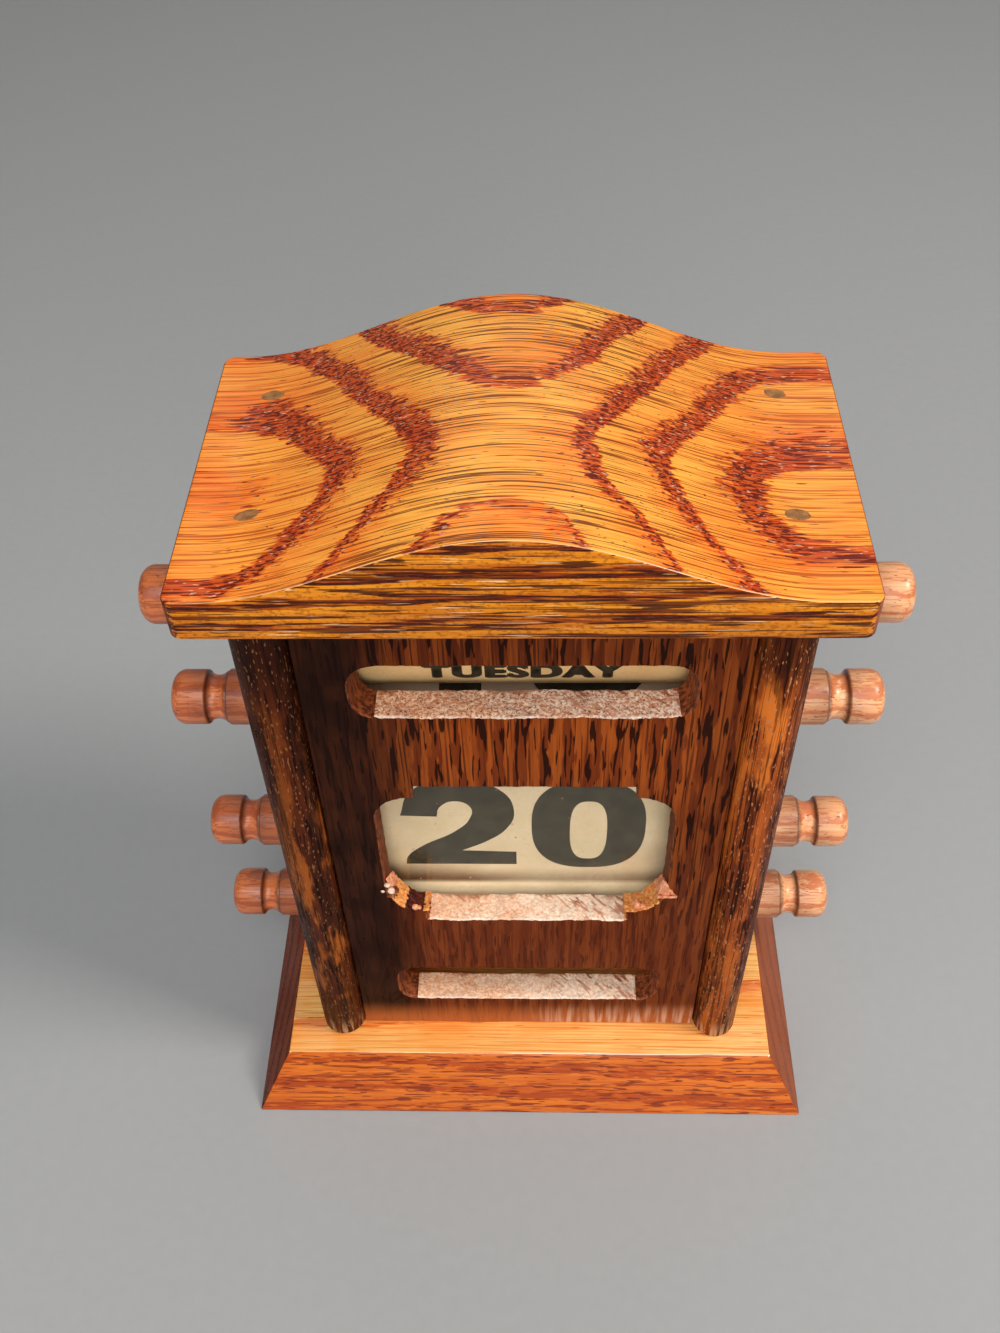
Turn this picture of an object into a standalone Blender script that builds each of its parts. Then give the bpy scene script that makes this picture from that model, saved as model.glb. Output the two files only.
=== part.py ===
"""Perpetual desk calendar in oak: a roofed case with a weekday drum, a date scroll and a month drum.

Metres, +Z up. The origin is the middle of the base's underside, and the windows face -Y.
Four rollers lie across the case along X, one over the other, and a knob at each end turns them.
"""

import math

import bmesh
import bpy
from mathutils import Matrix

# Fits shared by every piece
FIT_GAP = 0.0003
CUT_OVERRUN = 0.002
MERGE_DISTANCE = 0.000001
ARRIS_WIDTH = 0.0004
ARRIS_SEGMENTS = 2
SHARP_ANGLE = math.radians(40)
COPLANAR_ANGLE = math.radians(0.1)
QUARTER_TURN = math.radians(90)
HALF_TURN = math.radians(180)
SIDES = {"left": -1, "right": 1}

# Rollers, drums and the printed strips on them
ROLLER_END_PLAY = 0.0007
ROLLER_STEPS = 40
WEEKDAY_DRUM_RADIUS = 0.0134
MONTH_DRUM_RADIUS = 0.0112
LABEL_THICKNESS = 0.0004
LABEL_END_MARGIN = 0.0025
DATE_UPPER_CORE_RADIUS = 0.00475
DATE_LOWER_CORE_RADIUS = 0.0090
DATE_PAPER_THICKNESS = 0.00025
DATE_PAPER_END_MARGIN = 0.0055
DATE_PITCH = 0.041
DATES_ON_UPPER_ROLL = 19
DATES_ON_LOWER_ROLL = 11
DATE_LEADER_LENGTH = 0.135
DATE_ROLLER_SPACING = 0.036

# Knobs
KNOB_STEPS = 20
KNOB_RADIUS = 0.00475
KNOB_HEAD_LENGTH = 0.0065
KNOB_END_ROUND = 0.0022
KNOB_END_DOME = 0.0003
KNOB_EDGE_ROUND = 0.0005
KNOB_WAIST_LENGTH = 0.0034
KNOB_WAIST_DEPTH = 0.0008
KNOB_COLLAR_LENGTH = 0.0088
KNOB_COLLAR_RADIUS = 0.00485
KNOB_SHANK_RADIUS = 0.0036
KNOB_SPIGOT_RADIUS = 0.0025
KNOB_SPIGOT_LENGTH = 0.009
ARC_POINTS = 4
WAIST_POINTS = 5

# Room round the rollers inside the case
ROOM_UNDER_MONTH = 0.0038
ROOM_MONTH_TO_DATE = 0.0020
ROOM_DATE_TO_WEEKDAY = 0.0014
ROOM_OVER_WEEKDAY = 0.0058
ROOM_BEHIND_PANEL = 0.0014
ROOM_BEHIND_DRUM = 0.0024

# Case boards
SIDE_BOARD_THICKNESS = 0.0083
BULLNOSE_POINTS = 14
FRONT_PANEL_RECESS = 0.0030
FRONT_PANEL_THICKNESS = 0.0054
BACK_PANEL_THICKNESS = 0.0040

# Windows in the front panel
WEEKDAY_WINDOW_HALF_WIDTH = 0.0257
WEEKDAY_WINDOW_HEIGHT = 0.0116
WEEKDAY_WINDOW_ROUND = 0.0046
MONTH_WINDOW_HALF_WIDTH = 0.0250
MONTH_WINDOW_HEIGHT = 0.0120
MONTH_WINDOW_ROUND = 0.0040
DATE_WINDOW_HALF_WIDTH = 0.0246
DATE_WINDOW_NECK_HALF_WIDTH = 0.0180
DATE_WINDOW_HEIGHT = 0.0399
DATE_WINDOW_STEP = 0.0030
DATE_WINDOW_ROUND = 0.0060
WINDOW_ARC_POINTS = 6

# Date window glass and the beads that hold it
GLASS_THICKNESS = 0.0010
GLASS_LAP_ABOVE = 0.0030
GLASS_LAP_BESIDE = 0.0044
BEAD_LAP = 0.0012
BEAD_FOOT_WIDTH = 0.0030
BEAD_BACK_THICKNESS = 0.0020
BEAD_SIDE_ROOM = 0.0009

# Base board
BASE_THICKNESS = 0.0126
BASE_CHAMFER = 0.0068
BASE_SIDE_LEDGE = 0.0067
BASE_FRONT_LEDGE = 0.0040
BASE_BACK_LEDGE = 0.0031

# Roof board
ROOF_OVERHANG = 0.0050
ROOF_EDGE_THICKNESS = 0.0067
ROOF_CREST_THICKNESS = 0.0174
ROOF_CREST_X = -0.0014
ROOF_LEVEL_EDGE = 0.0031
ROOF_WAVE_POINTS = 32
ROOF_CORNER_RADIUS = 0.0018
ROOF_CORNER_SEGMENTS = 4

# Brads that nail the roof to the side boards
BRAD_STEPS = 16
BRAD_HEAD_RADIUS = 0.0010
BRAD_HEAD_DEPTH = 0.0008
BRAD_SHANK_RADIUS = 0.0006
BRAD_LENGTH = 0.018
BRAD_SINK = 0.0002
BRAD_FRONT_SETBACK = 0.0116
BRAD_BACK_SETBACK = 0.0060

# Countersunk wood screws in the base and the back
SCREW_STEPS = 20
SCREW_HEAD_RADIUS = 0.0026
SCREW_HEAD_DEPTH = 0.0018
SCREW_SHANK_RADIUS = 0.0013
SCREW_SLOT_WIDTH = 0.0006
SCREW_SLOT_DEPTH = 0.0007
SCREW_SINK = 0.0003
BASE_SCREW_LENGTH = 0.020
BASE_SCREW_END_SETBACK = 0.0100
BACK_SCREW_LENGTH = 0.014
BACK_SCREW_TOP_SETBACK = 0.022
BACK_SCREW_BOTTOM_SETBACK = 0.015


def wound_radius(core_radius, length):
    """Outer radius of a strip of this length wound on a core."""
    return math.sqrt(core_radius**2 + length * DATE_PAPER_THICKNESS / math.pi)


# Radii of what is wound or wrapped on the rollers
WEEKDAY_RADIUS = WEEKDAY_DRUM_RADIUS + FIT_GAP + LABEL_THICKNESS
MONTH_RADIUS = MONTH_DRUM_RADIUS + FIT_GAP + LABEL_THICKNESS
DATE_UPPER_RADIUS = wound_radius(DATE_UPPER_CORE_RADIUS, DATES_ON_UPPER_ROLL * DATE_PITCH)
DATE_LOWER_RADIUS = wound_radius(
    DATE_LOWER_CORE_RADIUS, DATES_ON_LOWER_ROLL * DATE_PITCH + DATE_LEADER_LENGTH
)
LARGEST_RADIUS = max(WEEKDAY_RADIUS, MONTH_RADIUS, DATE_UPPER_RADIUS, DATE_LOWER_RADIUS)

# Heights of the four roller axes and of the case, from the bottom up
MONTH_AXIS_Z = BASE_THICKNESS + ROOM_UNDER_MONTH + MONTH_RADIUS
DATE_LOWER_AXIS_Z = MONTH_AXIS_Z + MONTH_RADIUS + ROOM_MONTH_TO_DATE + DATE_LOWER_RADIUS
DATE_UPPER_AXIS_Z = DATE_LOWER_AXIS_Z + DATE_ROLLER_SPACING
WEEKDAY_AXIS_Z = DATE_UPPER_AXIS_Z + DATE_UPPER_RADIUS + ROOM_DATE_TO_WEEKDAY + WEEKDAY_RADIUS
ROOF_BOTTOM_Z = WEEKDAY_AXIS_Z + WEEKDAY_RADIUS + ROOM_OVER_WEEKDAY
CASE_BOTTOM_Z = BASE_THICKNESS + FIT_GAP
CASE_TOP_Z = ROOF_BOTTOM_Z - FIT_GAP
CASE_HEIGHT = CASE_TOP_Z - CASE_BOTTOM_Z
CASE_MIDDLE_Z = (CASE_TOP_Z + CASE_BOTTOM_Z) / 2
DATE_WINDOW_Z = (DATE_LOWER_AXIS_Z + DATE_UPPER_AXIS_Z) / 2

# Widths across the case
GLASS_HALF_WIDTH = DATE_WINDOW_HALF_WIDTH + GLASS_LAP_BESIDE
INNER_HALF_WIDTH = GLASS_HALF_WIDTH + FIT_GAP + BEAD_FOOT_WIDTH + BEAD_SIDE_ROOM
ROLLER_LENGTH = 2 * (INNER_HALF_WIDTH - ROLLER_END_PLAY)
CASE_HALF_WIDTH = INNER_HALF_WIDTH + SIDE_BOARD_THICKNESS
ROOF_HALF_WIDTH = CASE_HALF_WIDTH + ROOF_OVERHANG
ROOF_WAVE_HALF_WIDTH = ROOF_HALF_WIDTH - abs(ROOF_CREST_X) - ROOF_LEVEL_EDGE
SIDE_BOARD_X = INNER_HALF_WIDTH + SIDE_BOARD_THICKNESS / 2
PANEL_HALF_WIDTH = INNER_HALF_WIDTH - FIT_GAP

# Depths from the front of the side boards to the back panel, placed so that the base is centred
PANEL_DEPTH_IN = FRONT_PANEL_RECESS + FRONT_PANEL_THICKNESS
SIDE_BOARD_DEPTH = PANEL_DEPTH_IN + ROOM_BEHIND_PANEL + 2 * LARGEST_RADIUS + ROOM_BEHIND_DRUM
CASE_DEPTH = SIDE_BOARD_DEPTH + FIT_GAP + BACK_PANEL_THICKNESS
BASE_WIDTH = 2 * (CASE_HALF_WIDTH + BASE_SIDE_LEDGE + BASE_CHAMFER)
BASE_DEPTH = CASE_DEPTH + BASE_FRONT_LEDGE + BASE_BACK_LEDGE + 2 * BASE_CHAMFER
CASE_FRONT_Y = -BASE_DEPTH / 2 + BASE_CHAMFER + BASE_FRONT_LEDGE
CASE_BACK_Y = CASE_FRONT_Y + CASE_DEPTH
SIDE_BOARD_BACK_Y = CASE_FRONT_Y + SIDE_BOARD_DEPTH
PANEL_FRONT_Y = CASE_FRONT_Y + FRONT_PANEL_RECESS
PANEL_BACK_Y = PANEL_FRONT_Y + FRONT_PANEL_THICKNESS
ROLLER_Y = PANEL_BACK_Y + ROOM_BEHIND_PANEL + LARGEST_RADIUS
KNOB_SHOULDER_X = CASE_HALF_WIDTH + FIT_GAP


def clear_scene():
    for obj in list(bpy.data.objects):
        bpy.data.objects.remove(obj, do_unlink=True)


def new_collection(name, hidden):
    collection = bpy.data.collections.new(name)
    collection.hide_render = hidden
    bpy.context.scene.collection.children.link(collection)
    return collection


clear_scene()
PARTS = new_collection("perpetual_desk_calendar", hidden=False)
CUTTERS = new_collection("cutters", hidden=True)


def principled(name, colour, roughness, metallic=0.0):
    """A plain material with one colour, made once and then shared."""
    material = bpy.data.materials.get(name) or bpy.data.materials.new(name)
    material.use_nodes = True
    shader = material.node_tree.nodes["Principled BSDF"]
    shader.inputs["Base Color"].default_value = (*colour, 1.0)
    shader.inputs["Roughness"].default_value = roughness
    shader.inputs["Metallic"].default_value = metallic
    material.diffuse_color = (*colour, 1.0)
    return material


def golden_oak():
    return principled("golden_oak", (0.62, 0.24, 0.045), 0.28)


def dark_oak():
    return principled("dark_oak", (0.13, 0.042, 0.018), 0.42)


def turned_oak():
    return principled("turned_oak", (0.30, 0.115, 0.055), 0.40)


def bare_wood():
    return principled("bare_wood", (0.55, 0.36, 0.20), 0.70)


def aged_paper():
    return principled("aged_paper", (0.52, 0.44, 0.28), 0.80)


def window_glass():
    material = principled("window_glass", (0.90, 0.93, 0.90), 0.05)
    material.node_tree.nodes["Principled BSDF"].inputs["Transmission Weight"].default_value = 1.0
    return material


def steel():
    return principled("steel", (0.42, 0.40, 0.38), 0.35, metallic=1.0)


def brad_iron():
    return principled("brad_iron", (0.10, 0.07, 0.05), 0.55, metallic=0.6)


def add_object(name, mesh, material=None):
    """Links a mesh as a part with its material or, with none given, as a cutter."""
    obj = bpy.data.objects.new(name, mesh)
    if material:
        mesh.materials.append(material)
        PARTS.objects.link(obj)
    else:
        obj.hide_render = True
        obj.display_type = "WIRE"
        CUTTERS.objects.link(obj)
    return obj


def shade_round(mesh):
    mesh.shade_smooth()
    mesh.set_sharp_from_angle(angle=SHARP_ANGLE)


def evaluated_mesh(obj):
    bpy.context.view_layer.update()
    graph = bpy.context.evaluated_depsgraph_get()
    return bpy.data.meshes.new_from_object(obj.evaluated_get(graph))


def block_mesh(name, width, depth, height):
    """A box centred on its object's origin."""
    mesh = bpy.data.meshes.new(name)
    shape = bmesh.new()
    bmesh.ops.create_cube(shape, size=1.0, matrix=Matrix.Diagonal((width, depth, height, 1.0)))
    shape.to_mesh(mesh)
    shape.free()
    return mesh


def extruded_mesh(name, outlines, thickness):
    """Flat outlines in XY, the first with the others as holes, given a thickness centred on Z = 0."""
    curve = bpy.data.curves.new(name, "CURVE")
    curve.dimensions = "2D"
    curve.fill_mode = "BOTH"
    curve.extrude = thickness / 2
    for outline in outlines:
        spline = curve.splines.new("POLY")
        spline.points.add(len(outline) - 1)
        spline.use_cyclic_u = True
        for point, (x, y) in zip(spline.points, outline):
            point.co = (x, y, 0.0, 1.0)
    guide = bpy.data.objects.new(name, curve)
    CUTTERS.objects.link(guide)
    mesh = evaluated_mesh(guide)
    bpy.data.objects.remove(guide)
    shape = bmesh.new()
    shape.from_mesh(mesh)
    bmesh.ops.remove_doubles(shape, verts=shape.verts, dist=MERGE_DISTANCE)
    bmesh.ops.dissolve_limit(shape, angle_limit=COPLANAR_ANGLE, verts=shape.verts, edges=shape.edges)
    bmesh.ops.recalc_face_normals(shape, faces=shape.faces)
    shape.to_mesh(mesh)
    shape.free()
    return mesh


def turned_mesh(name, profile, steps, closed=False):
    """A turned shape about Z. The profile's (radius, height) points run down its outer side."""
    links = [(i, i + 1) for i in range(len(profile) - 1)]
    if closed:
        links.append((len(profile) - 1, 0))
    outline = bpy.data.meshes.new(name)
    outline.from_pydata([(radius, 0.0, height) for radius, height in profile], links, [])
    guide = bpy.data.objects.new(name, outline)
    CUTTERS.objects.link(guide)
    screw = guide.modifiers.new("Turn", "SCREW")
    screw.axis = "Z"
    screw.steps = steps
    screw.render_steps = steps
    screw.use_merge_vertices = True
    screw.merge_threshold = MERGE_DISTANCE
    mesh = evaluated_mesh(guide)
    bpy.data.objects.remove(guide)
    shade_round(mesh)
    return mesh


def soften_edges(obj):
    """Rounds the sharp edges of a board slightly, as sanding does."""
    bevel = obj.modifiers.new("Arris", "BEVEL")
    bevel.width = ARRIS_WIDTH
    bevel.segments = ARRIS_SEGMENTS
    bevel.limit_method = "ANGLE"
    bevel.angle_limit = SHARP_ANGLE


def cut(obj, cutters):
    for cutter in cutters:
        boolean = obj.modifiers.new(cutter.name, "BOOLEAN")
        boolean.operation = "DIFFERENCE"
        boolean.solver = "EXACT"
        boolean.object = cutter


def arc(centre_x, centre_y, radius, start, end, points):
    """Points on an arc about a centre, ends included, with angles in radians."""
    angles = [start + (end - start) * i / (points - 1) for i in range(points)]
    return [(centre_x + radius * math.cos(a), centre_y + radius * math.sin(a)) for a in angles]


def rounded_window(half_width, height, radius, centre_z):
    """A slot with rounded corners, counter-clockwise from its lower right."""
    x = half_width - radius
    y = height / 2 - radius
    corners = ((x, -y, 3), (x, y, 0), (-x, y, 1), (-x, -y, 2))
    outline = []
    for corner_x, corner_y, quarter in corners:
        start = quarter * QUARTER_TURN
        outline += arc(
            corner_x, centre_z + corner_y, radius, start, start + QUARTER_TURN, WINDOW_ARC_POINTS
        )
    return outline


def date_window(centre_z):
    """A rounded slot with a narrower neck that reaches further up and down."""
    top = DATE_WINDOW_HEIGHT / 2
    shoulder = top - DATE_WINDOW_STEP
    arc_x = DATE_WINDOW_HALF_WIDTH - DATE_WINDOW_ROUND
    arc_y = shoulder - DATE_WINDOW_ROUND
    quarter = [(DATE_WINDOW_NECK_HALF_WIDTH, top), (DATE_WINDOW_NECK_HALF_WIDTH, shoulder)]
    quarter += arc(arc_x, arc_y, DATE_WINDOW_ROUND, QUARTER_TURN, 0, WINDOW_ARC_POINTS)
    right = quarter + [(x, -y) for x, y in reversed(quarter)]
    outline = right + [(-x, y) for x, y in reversed(right)]
    return [(x, centre_z + y) for x, y in outline]


def roof_height(x):
    """Thickness of the roof board at x: a wave from the crest down to a level edge."""
    distance = min(abs(x - ROOF_CREST_X), ROOF_WAVE_HALF_WIDTH)
    wave = (1 + math.cos(math.pi * distance / ROOF_WAVE_HALF_WIDTH)) / 2
    return ROOF_EDGE_THICKNESS + (ROOF_CREST_THICKNESS - ROOF_EDGE_THICKNESS) * wave


def base_plate():
    """The base board: a straight chamfer runs from its bottom edge up to its smaller top."""
    mesh = block_mesh("base_plate", BASE_WIDTH, BASE_DEPTH, BASE_THICKNESS)
    for vertex in mesh.vertices:
        if vertex.co.z > 0:
            vertex.co.x -= math.copysign(BASE_CHAMFER, vertex.co.x)
            vertex.co.y -= math.copysign(BASE_CHAMFER, vertex.co.y)
    obj = add_object("base_plate", mesh, golden_oak())
    obj.location.z = BASE_THICKNESS / 2
    soften_edges(obj)
    return obj


def side_board(side):
    """A side board with a full-round front edge."""
    name = f"{side}_side_board"
    half = SIDE_BOARD_THICKNESS / 2
    outline = [(half, SIDE_BOARD_BACK_Y), (-half, SIDE_BOARD_BACK_Y)]
    outline += arc(0.0, CASE_FRONT_Y + half, half, HALF_TURN, 2 * HALF_TURN, BULLNOSE_POINTS)
    mesh = extruded_mesh(name, [outline], CASE_HEIGHT)
    shade_round(mesh)
    obj = add_object(name, mesh, dark_oak())
    obj.location = (SIDES[side] * SIDE_BOARD_X, 0.0, CASE_MIDDLE_Z)
    return obj


def front_panel():
    """The front panel, set in between the side boards, with its three windows."""
    edge = [(-PANEL_HALF_WIDTH, CASE_BOTTOM_Z), (PANEL_HALF_WIDTH, CASE_BOTTOM_Z)]
    edge += [(PANEL_HALF_WIDTH, CASE_TOP_Z), (-PANEL_HALF_WIDTH, CASE_TOP_Z)]
    weekday = rounded_window(
        WEEKDAY_WINDOW_HALF_WIDTH, WEEKDAY_WINDOW_HEIGHT, WEEKDAY_WINDOW_ROUND, WEEKDAY_AXIS_Z
    )
    month = rounded_window(
        MONTH_WINDOW_HALF_WIDTH, MONTH_WINDOW_HEIGHT, MONTH_WINDOW_ROUND, MONTH_AXIS_Z
    )
    outlines = [edge, weekday, date_window(DATE_WINDOW_Z), month]
    mesh = extruded_mesh("front_panel", outlines, FRONT_PANEL_THICKNESS)
    obj = add_object("front_panel", mesh, dark_oak())
    obj.location.y = (PANEL_FRONT_Y + PANEL_BACK_Y) / 2
    obj.rotation_euler.x = QUARTER_TURN
    return obj


def back_panel():
    """The back panel, screwed over the back edges of the side boards."""
    mesh = block_mesh("back_panel", 2 * CASE_HALF_WIDTH, BACK_PANEL_THICKNESS, CASE_HEIGHT)
    obj = add_object("back_panel", mesh, dark_oak())
    obj.location = (0.0, CASE_BACK_Y - BACK_PANEL_THICKNESS / 2, CASE_MIDDLE_Z)
    soften_edges(obj)
    return obj


def roof_board():
    """The roof board: flat below, a wave on top, the same all along its depth."""
    depth = CASE_DEPTH + 2 * ROOF_OVERHANG
    shares = [i / ROOF_WAVE_POINTS for i in range(ROOF_WAVE_POINTS + 1)]
    ridge_xs = [ROOF_CREST_X + ROOF_WAVE_HALF_WIDTH * (1 - 2 * share) for share in shares]
    outline = [(-ROOF_HALF_WIDTH, 0.0), (ROOF_HALF_WIDTH, 0.0)]
    outline += [(ROOF_HALF_WIDTH, ROOF_EDGE_THICKNESS)]
    outline += [(x, roof_height(x)) for x in ridge_xs]
    outline += [(-ROOF_HALF_WIDTH, ROOF_EDGE_THICKNESS)]
    mesh = extruded_mesh("roof_board", [outline], depth)
    round_roof_corners(mesh)
    obj = add_object("roof_board", mesh, golden_oak())
    obj.location = (0.0, (CASE_FRONT_Y + CASE_BACK_Y) / 2, ROOF_BOTTOM_Z)
    obj.rotation_euler.x = QUARTER_TURN
    soften_edges(obj)
    return obj


def round_roof_corners(mesh):
    """Rounds the four upright corner edges, which lie along the mesh's own Y."""
    shape = bmesh.new()
    shape.from_mesh(mesh)
    corners = [
        edge
        for edge in shape.edges
        if all(abs(abs(vertex.co.x) - ROOF_HALF_WIDTH) < MERGE_DISTANCE for vertex in edge.verts)
        and abs(edge.verts[0].co.z - edge.verts[1].co.z) < MERGE_DISTANCE
    ]
    bmesh.ops.bevel(
        shape,
        geom=corners,
        offset=ROOF_CORNER_RADIUS,
        segments=ROOF_CORNER_SEGMENTS,
        profile=0.5,
        affect="EDGES",
    )
    shape.to_mesh(mesh)
    shape.free()


def date_glass():
    """The pane behind the date window."""
    height = DATE_WINDOW_HEIGHT + 2 * GLASS_LAP_ABOVE
    mesh = block_mesh("date_glass", 2 * GLASS_HALF_WIDTH, GLASS_THICKNESS, height)
    obj = add_object("date_glass", mesh, window_glass())
    obj.location = (0.0, PANEL_BACK_Y + FIT_GAP + GLASS_THICKNESS / 2, DATE_WINDOW_Z)
    return obj


def glass_bead(side):
    """A rebated strip behind the panel that laps over one edge of the pane."""
    foot_x = GLASS_HALF_WIDTH + FIT_GAP
    outer_x = foot_x + BEAD_FOOT_WIDTH
    front_y = PANEL_BACK_Y + FIT_GAP
    rebate_y = front_y + GLASS_THICKNESS + FIT_GAP
    back_y = rebate_y + BEAD_BACK_THICKNESS
    lap_x = GLASS_HALF_WIDTH - BEAD_LAP
    outline = [(foot_x, front_y), (outer_x, front_y), (outer_x, back_y)]
    outline += [(lap_x, back_y), (lap_x, rebate_y), (foot_x, rebate_y)]
    outline = [(SIDES[side] * x, y) for x, y in outline]
    name = f"glass_bead_{side}"
    mesh = extruded_mesh(name, [outline], DATE_WINDOW_HEIGHT + 2 * GLASS_LAP_ABOVE)
    obj = add_object(name, mesh, bare_wood())
    obj.location.z = DATE_WINDOW_Z
    return obj


def headed_profile(head_radius, head_depth, shank_radius, length, above=0.0, taper=True):
    """A nail's or screw's profile with its head's top at Z = 0, or a cutter's when it starts above."""
    neck = (shank_radius, -head_depth)
    profile = [(0.0, above), (head_radius, above)]
    if above:
        profile.append((head_radius, 0.0))
    if not taper:
        profile.append((head_radius, -head_depth))
    return profile + [neck, (shank_radius, -length), (0.0, -length)]


def brad(name, x, y):
    """A brad through the roof into a side board, with the hole for it."""
    top_z = ROOF_BOTTOM_Z + roof_height(x) - BRAD_SINK
    profile = headed_profile(
        BRAD_HEAD_RADIUS, BRAD_HEAD_DEPTH, BRAD_SHANK_RADIUS, BRAD_LENGTH, taper=False
    )
    obj = add_object(name, turned_mesh(name, profile, BRAD_STEPS), brad_iron())
    hole_profile = headed_profile(
        BRAD_HEAD_RADIUS + FIT_GAP,
        BRAD_HEAD_DEPTH + FIT_GAP,
        BRAD_SHANK_RADIUS + FIT_GAP,
        BRAD_LENGTH + FIT_GAP,
        above=CUT_OVERRUN,
        taper=False,
    )
    hole = add_object(f"{name}_hole", turned_mesh(f"{name}_hole", hole_profile, BRAD_STEPS))
    for item in (obj, hole):
        item.location = (x, y, top_z)
    return hole


def wood_screw(name, length, location, turn):
    """A slotted countersunk screw with the hole for it. Its head faces +Z before the turn about X."""
    profile = headed_profile(SCREW_HEAD_RADIUS, SCREW_HEAD_DEPTH, SCREW_SHANK_RADIUS, length)
    obj = add_object(name, turned_mesh(name, profile, SCREW_STEPS), steel())
    slot_width = 2 * (SCREW_HEAD_RADIUS + CUT_OVERRUN)
    slot_mesh = block_mesh(f"{name}_slot", slot_width, SCREW_SLOT_WIDTH, 2 * SCREW_SLOT_DEPTH)
    slot = add_object(f"{name}_slot", slot_mesh)
    cut(obj, [slot])
    hole_profile = headed_profile(
        SCREW_HEAD_RADIUS + FIT_GAP,
        SCREW_HEAD_DEPTH + FIT_GAP,
        SCREW_SHANK_RADIUS + FIT_GAP,
        length + FIT_GAP,
        above=CUT_OVERRUN,
    )
    hole = add_object(f"{name}_hole", turned_mesh(f"{name}_hole", hole_profile, SCREW_STEPS))
    for item in (obj, slot, hole):
        item.location = location
        item.rotation_euler.x = turn
    return hole


def knob_bore(side, name, axis_z):
    """Cutter for the hole in which a knob's shank turns."""
    radius = KNOB_SHANK_RADIUS + FIT_GAP
    half = SIDE_BOARD_THICKNESS / 2 + CUT_OVERRUN
    profile = [(0.0, half), (radius, half), (radius, -half), (0.0, -half)]
    bore = add_object(f"{name}_bore_{side}", turned_mesh(f"{name}_bore_{side}", profile, KNOB_STEPS))
    bore.location = (SIDES[side] * SIDE_BOARD_X, ROLLER_Y, axis_z)
    bore.rotation_euler.y = QUARTER_TURN
    return bore


def knob_profile():
    """A knob's profile from its domed end, past the waist and collar, to the spigot in the roller."""
    waist_start = KNOB_SHOULDER_X + KNOB_COLLAR_LENGTH
    waist_end = waist_start + KNOB_WAIST_LENGTH
    reach = waist_end + KNOB_HEAD_LENGTH
    profile = [(0.0, reach)]
    profile += arc(
        KNOB_RADIUS - KNOB_END_ROUND,
        reach - KNOB_END_DOME - KNOB_END_ROUND,
        KNOB_END_ROUND,
        QUARTER_TURN,
        0,
        ARC_POINTS,
    )
    profile += [(KNOB_RADIUS, waist_end + KNOB_EDGE_ROUND), (KNOB_RADIUS - KNOB_EDGE_ROUND, waist_end)]
    for i in range(1, WAIST_POINTS + 1):
        share = i / (WAIST_POINTS + 1)
        radius = KNOB_RADIUS - KNOB_EDGE_ROUND * (1 - share)
        depth = KNOB_WAIST_DEPTH * math.sin(math.pi * share)
        profile.append((radius - depth, waist_end - KNOB_WAIST_LENGTH * share))
    profile += [
        (KNOB_COLLAR_RADIUS - KNOB_EDGE_ROUND / 2, waist_start),
        (KNOB_COLLAR_RADIUS, waist_start - KNOB_EDGE_ROUND),
        (KNOB_COLLAR_RADIUS, KNOB_SHOULDER_X),
    ]
    roller_end = ROLLER_LENGTH / 2
    profile += [
        (KNOB_SHANK_RADIUS, KNOB_SHOULDER_X),
        (KNOB_SHANK_RADIUS, roller_end + FIT_GAP),
        (KNOB_SPIGOT_RADIUS, roller_end + FIT_GAP),
        (KNOB_SPIGOT_RADIUS, roller_end - KNOB_SPIGOT_LENGTH),
        (0.0, roller_end - KNOB_SPIGOT_LENGTH),
    ]
    return profile


def roller_profile(radius):
    """A plain roller with a blind bore in each end for a knob's spigot."""
    half = ROLLER_LENGTH / 2
    bore_radius = KNOB_SPIGOT_RADIUS + FIT_GAP
    bore_floor = half - KNOB_SPIGOT_LENGTH - FIT_GAP
    upper = [(0.0, bore_floor), (bore_radius, bore_floor), (bore_radius, half), (radius, half)]
    return upper + [(r, -z) for r, z in reversed(upper)]


def sleeve_profile(inner_radius, outer_radius, end_margin):
    """A paper sleeve or winding round a roller, as a closed section."""
    half = ROLLER_LENGTH / 2 - end_margin
    return [(inner_radius, half), (outer_radius, half), (outer_radius, -half), (inner_radius, -half)]


def axis_empty(name, axis_z):
    """An empty on a roller's axis, with its own Z along the axis towards +X."""
    empty = bpy.data.objects.new(f"{name}_axis", None)
    empty.location = (0.0, ROLLER_Y, axis_z)
    empty.rotation_euler.y = QUARTER_TURN
    PARTS.objects.link(empty)
    return empty


def roller_set(name, axis_z, roller_name, roller_radius, paper_name, paper_radius, end_margin):
    """A roller with its paper and its two knobs, all on one axis."""
    pieces = []
    roller_mesh = turned_mesh(roller_name, roller_profile(roller_radius), ROLLER_STEPS)
    pieces.append(add_object(roller_name, roller_mesh, bare_wood()))
    sleeve = sleeve_profile(roller_radius + FIT_GAP, paper_radius, end_margin)
    paper_mesh = turned_mesh(paper_name, sleeve, ROLLER_STEPS, closed=True)
    pieces.append(add_object(paper_name, paper_mesh, aged_paper()))
    for side, sign in SIDES.items():
        knob_name = f"{name}_knob_{side}"
        knob = add_object(knob_name, turned_mesh(knob_name, knob_profile(), KNOB_STEPS), turned_oak())
        knob.rotation_euler.x = 0.0 if sign > 0 else HALF_TURN
        pieces.append(knob)
    axis = axis_empty(name, axis_z)
    for piece in pieces:
        piece.parent = axis


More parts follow.
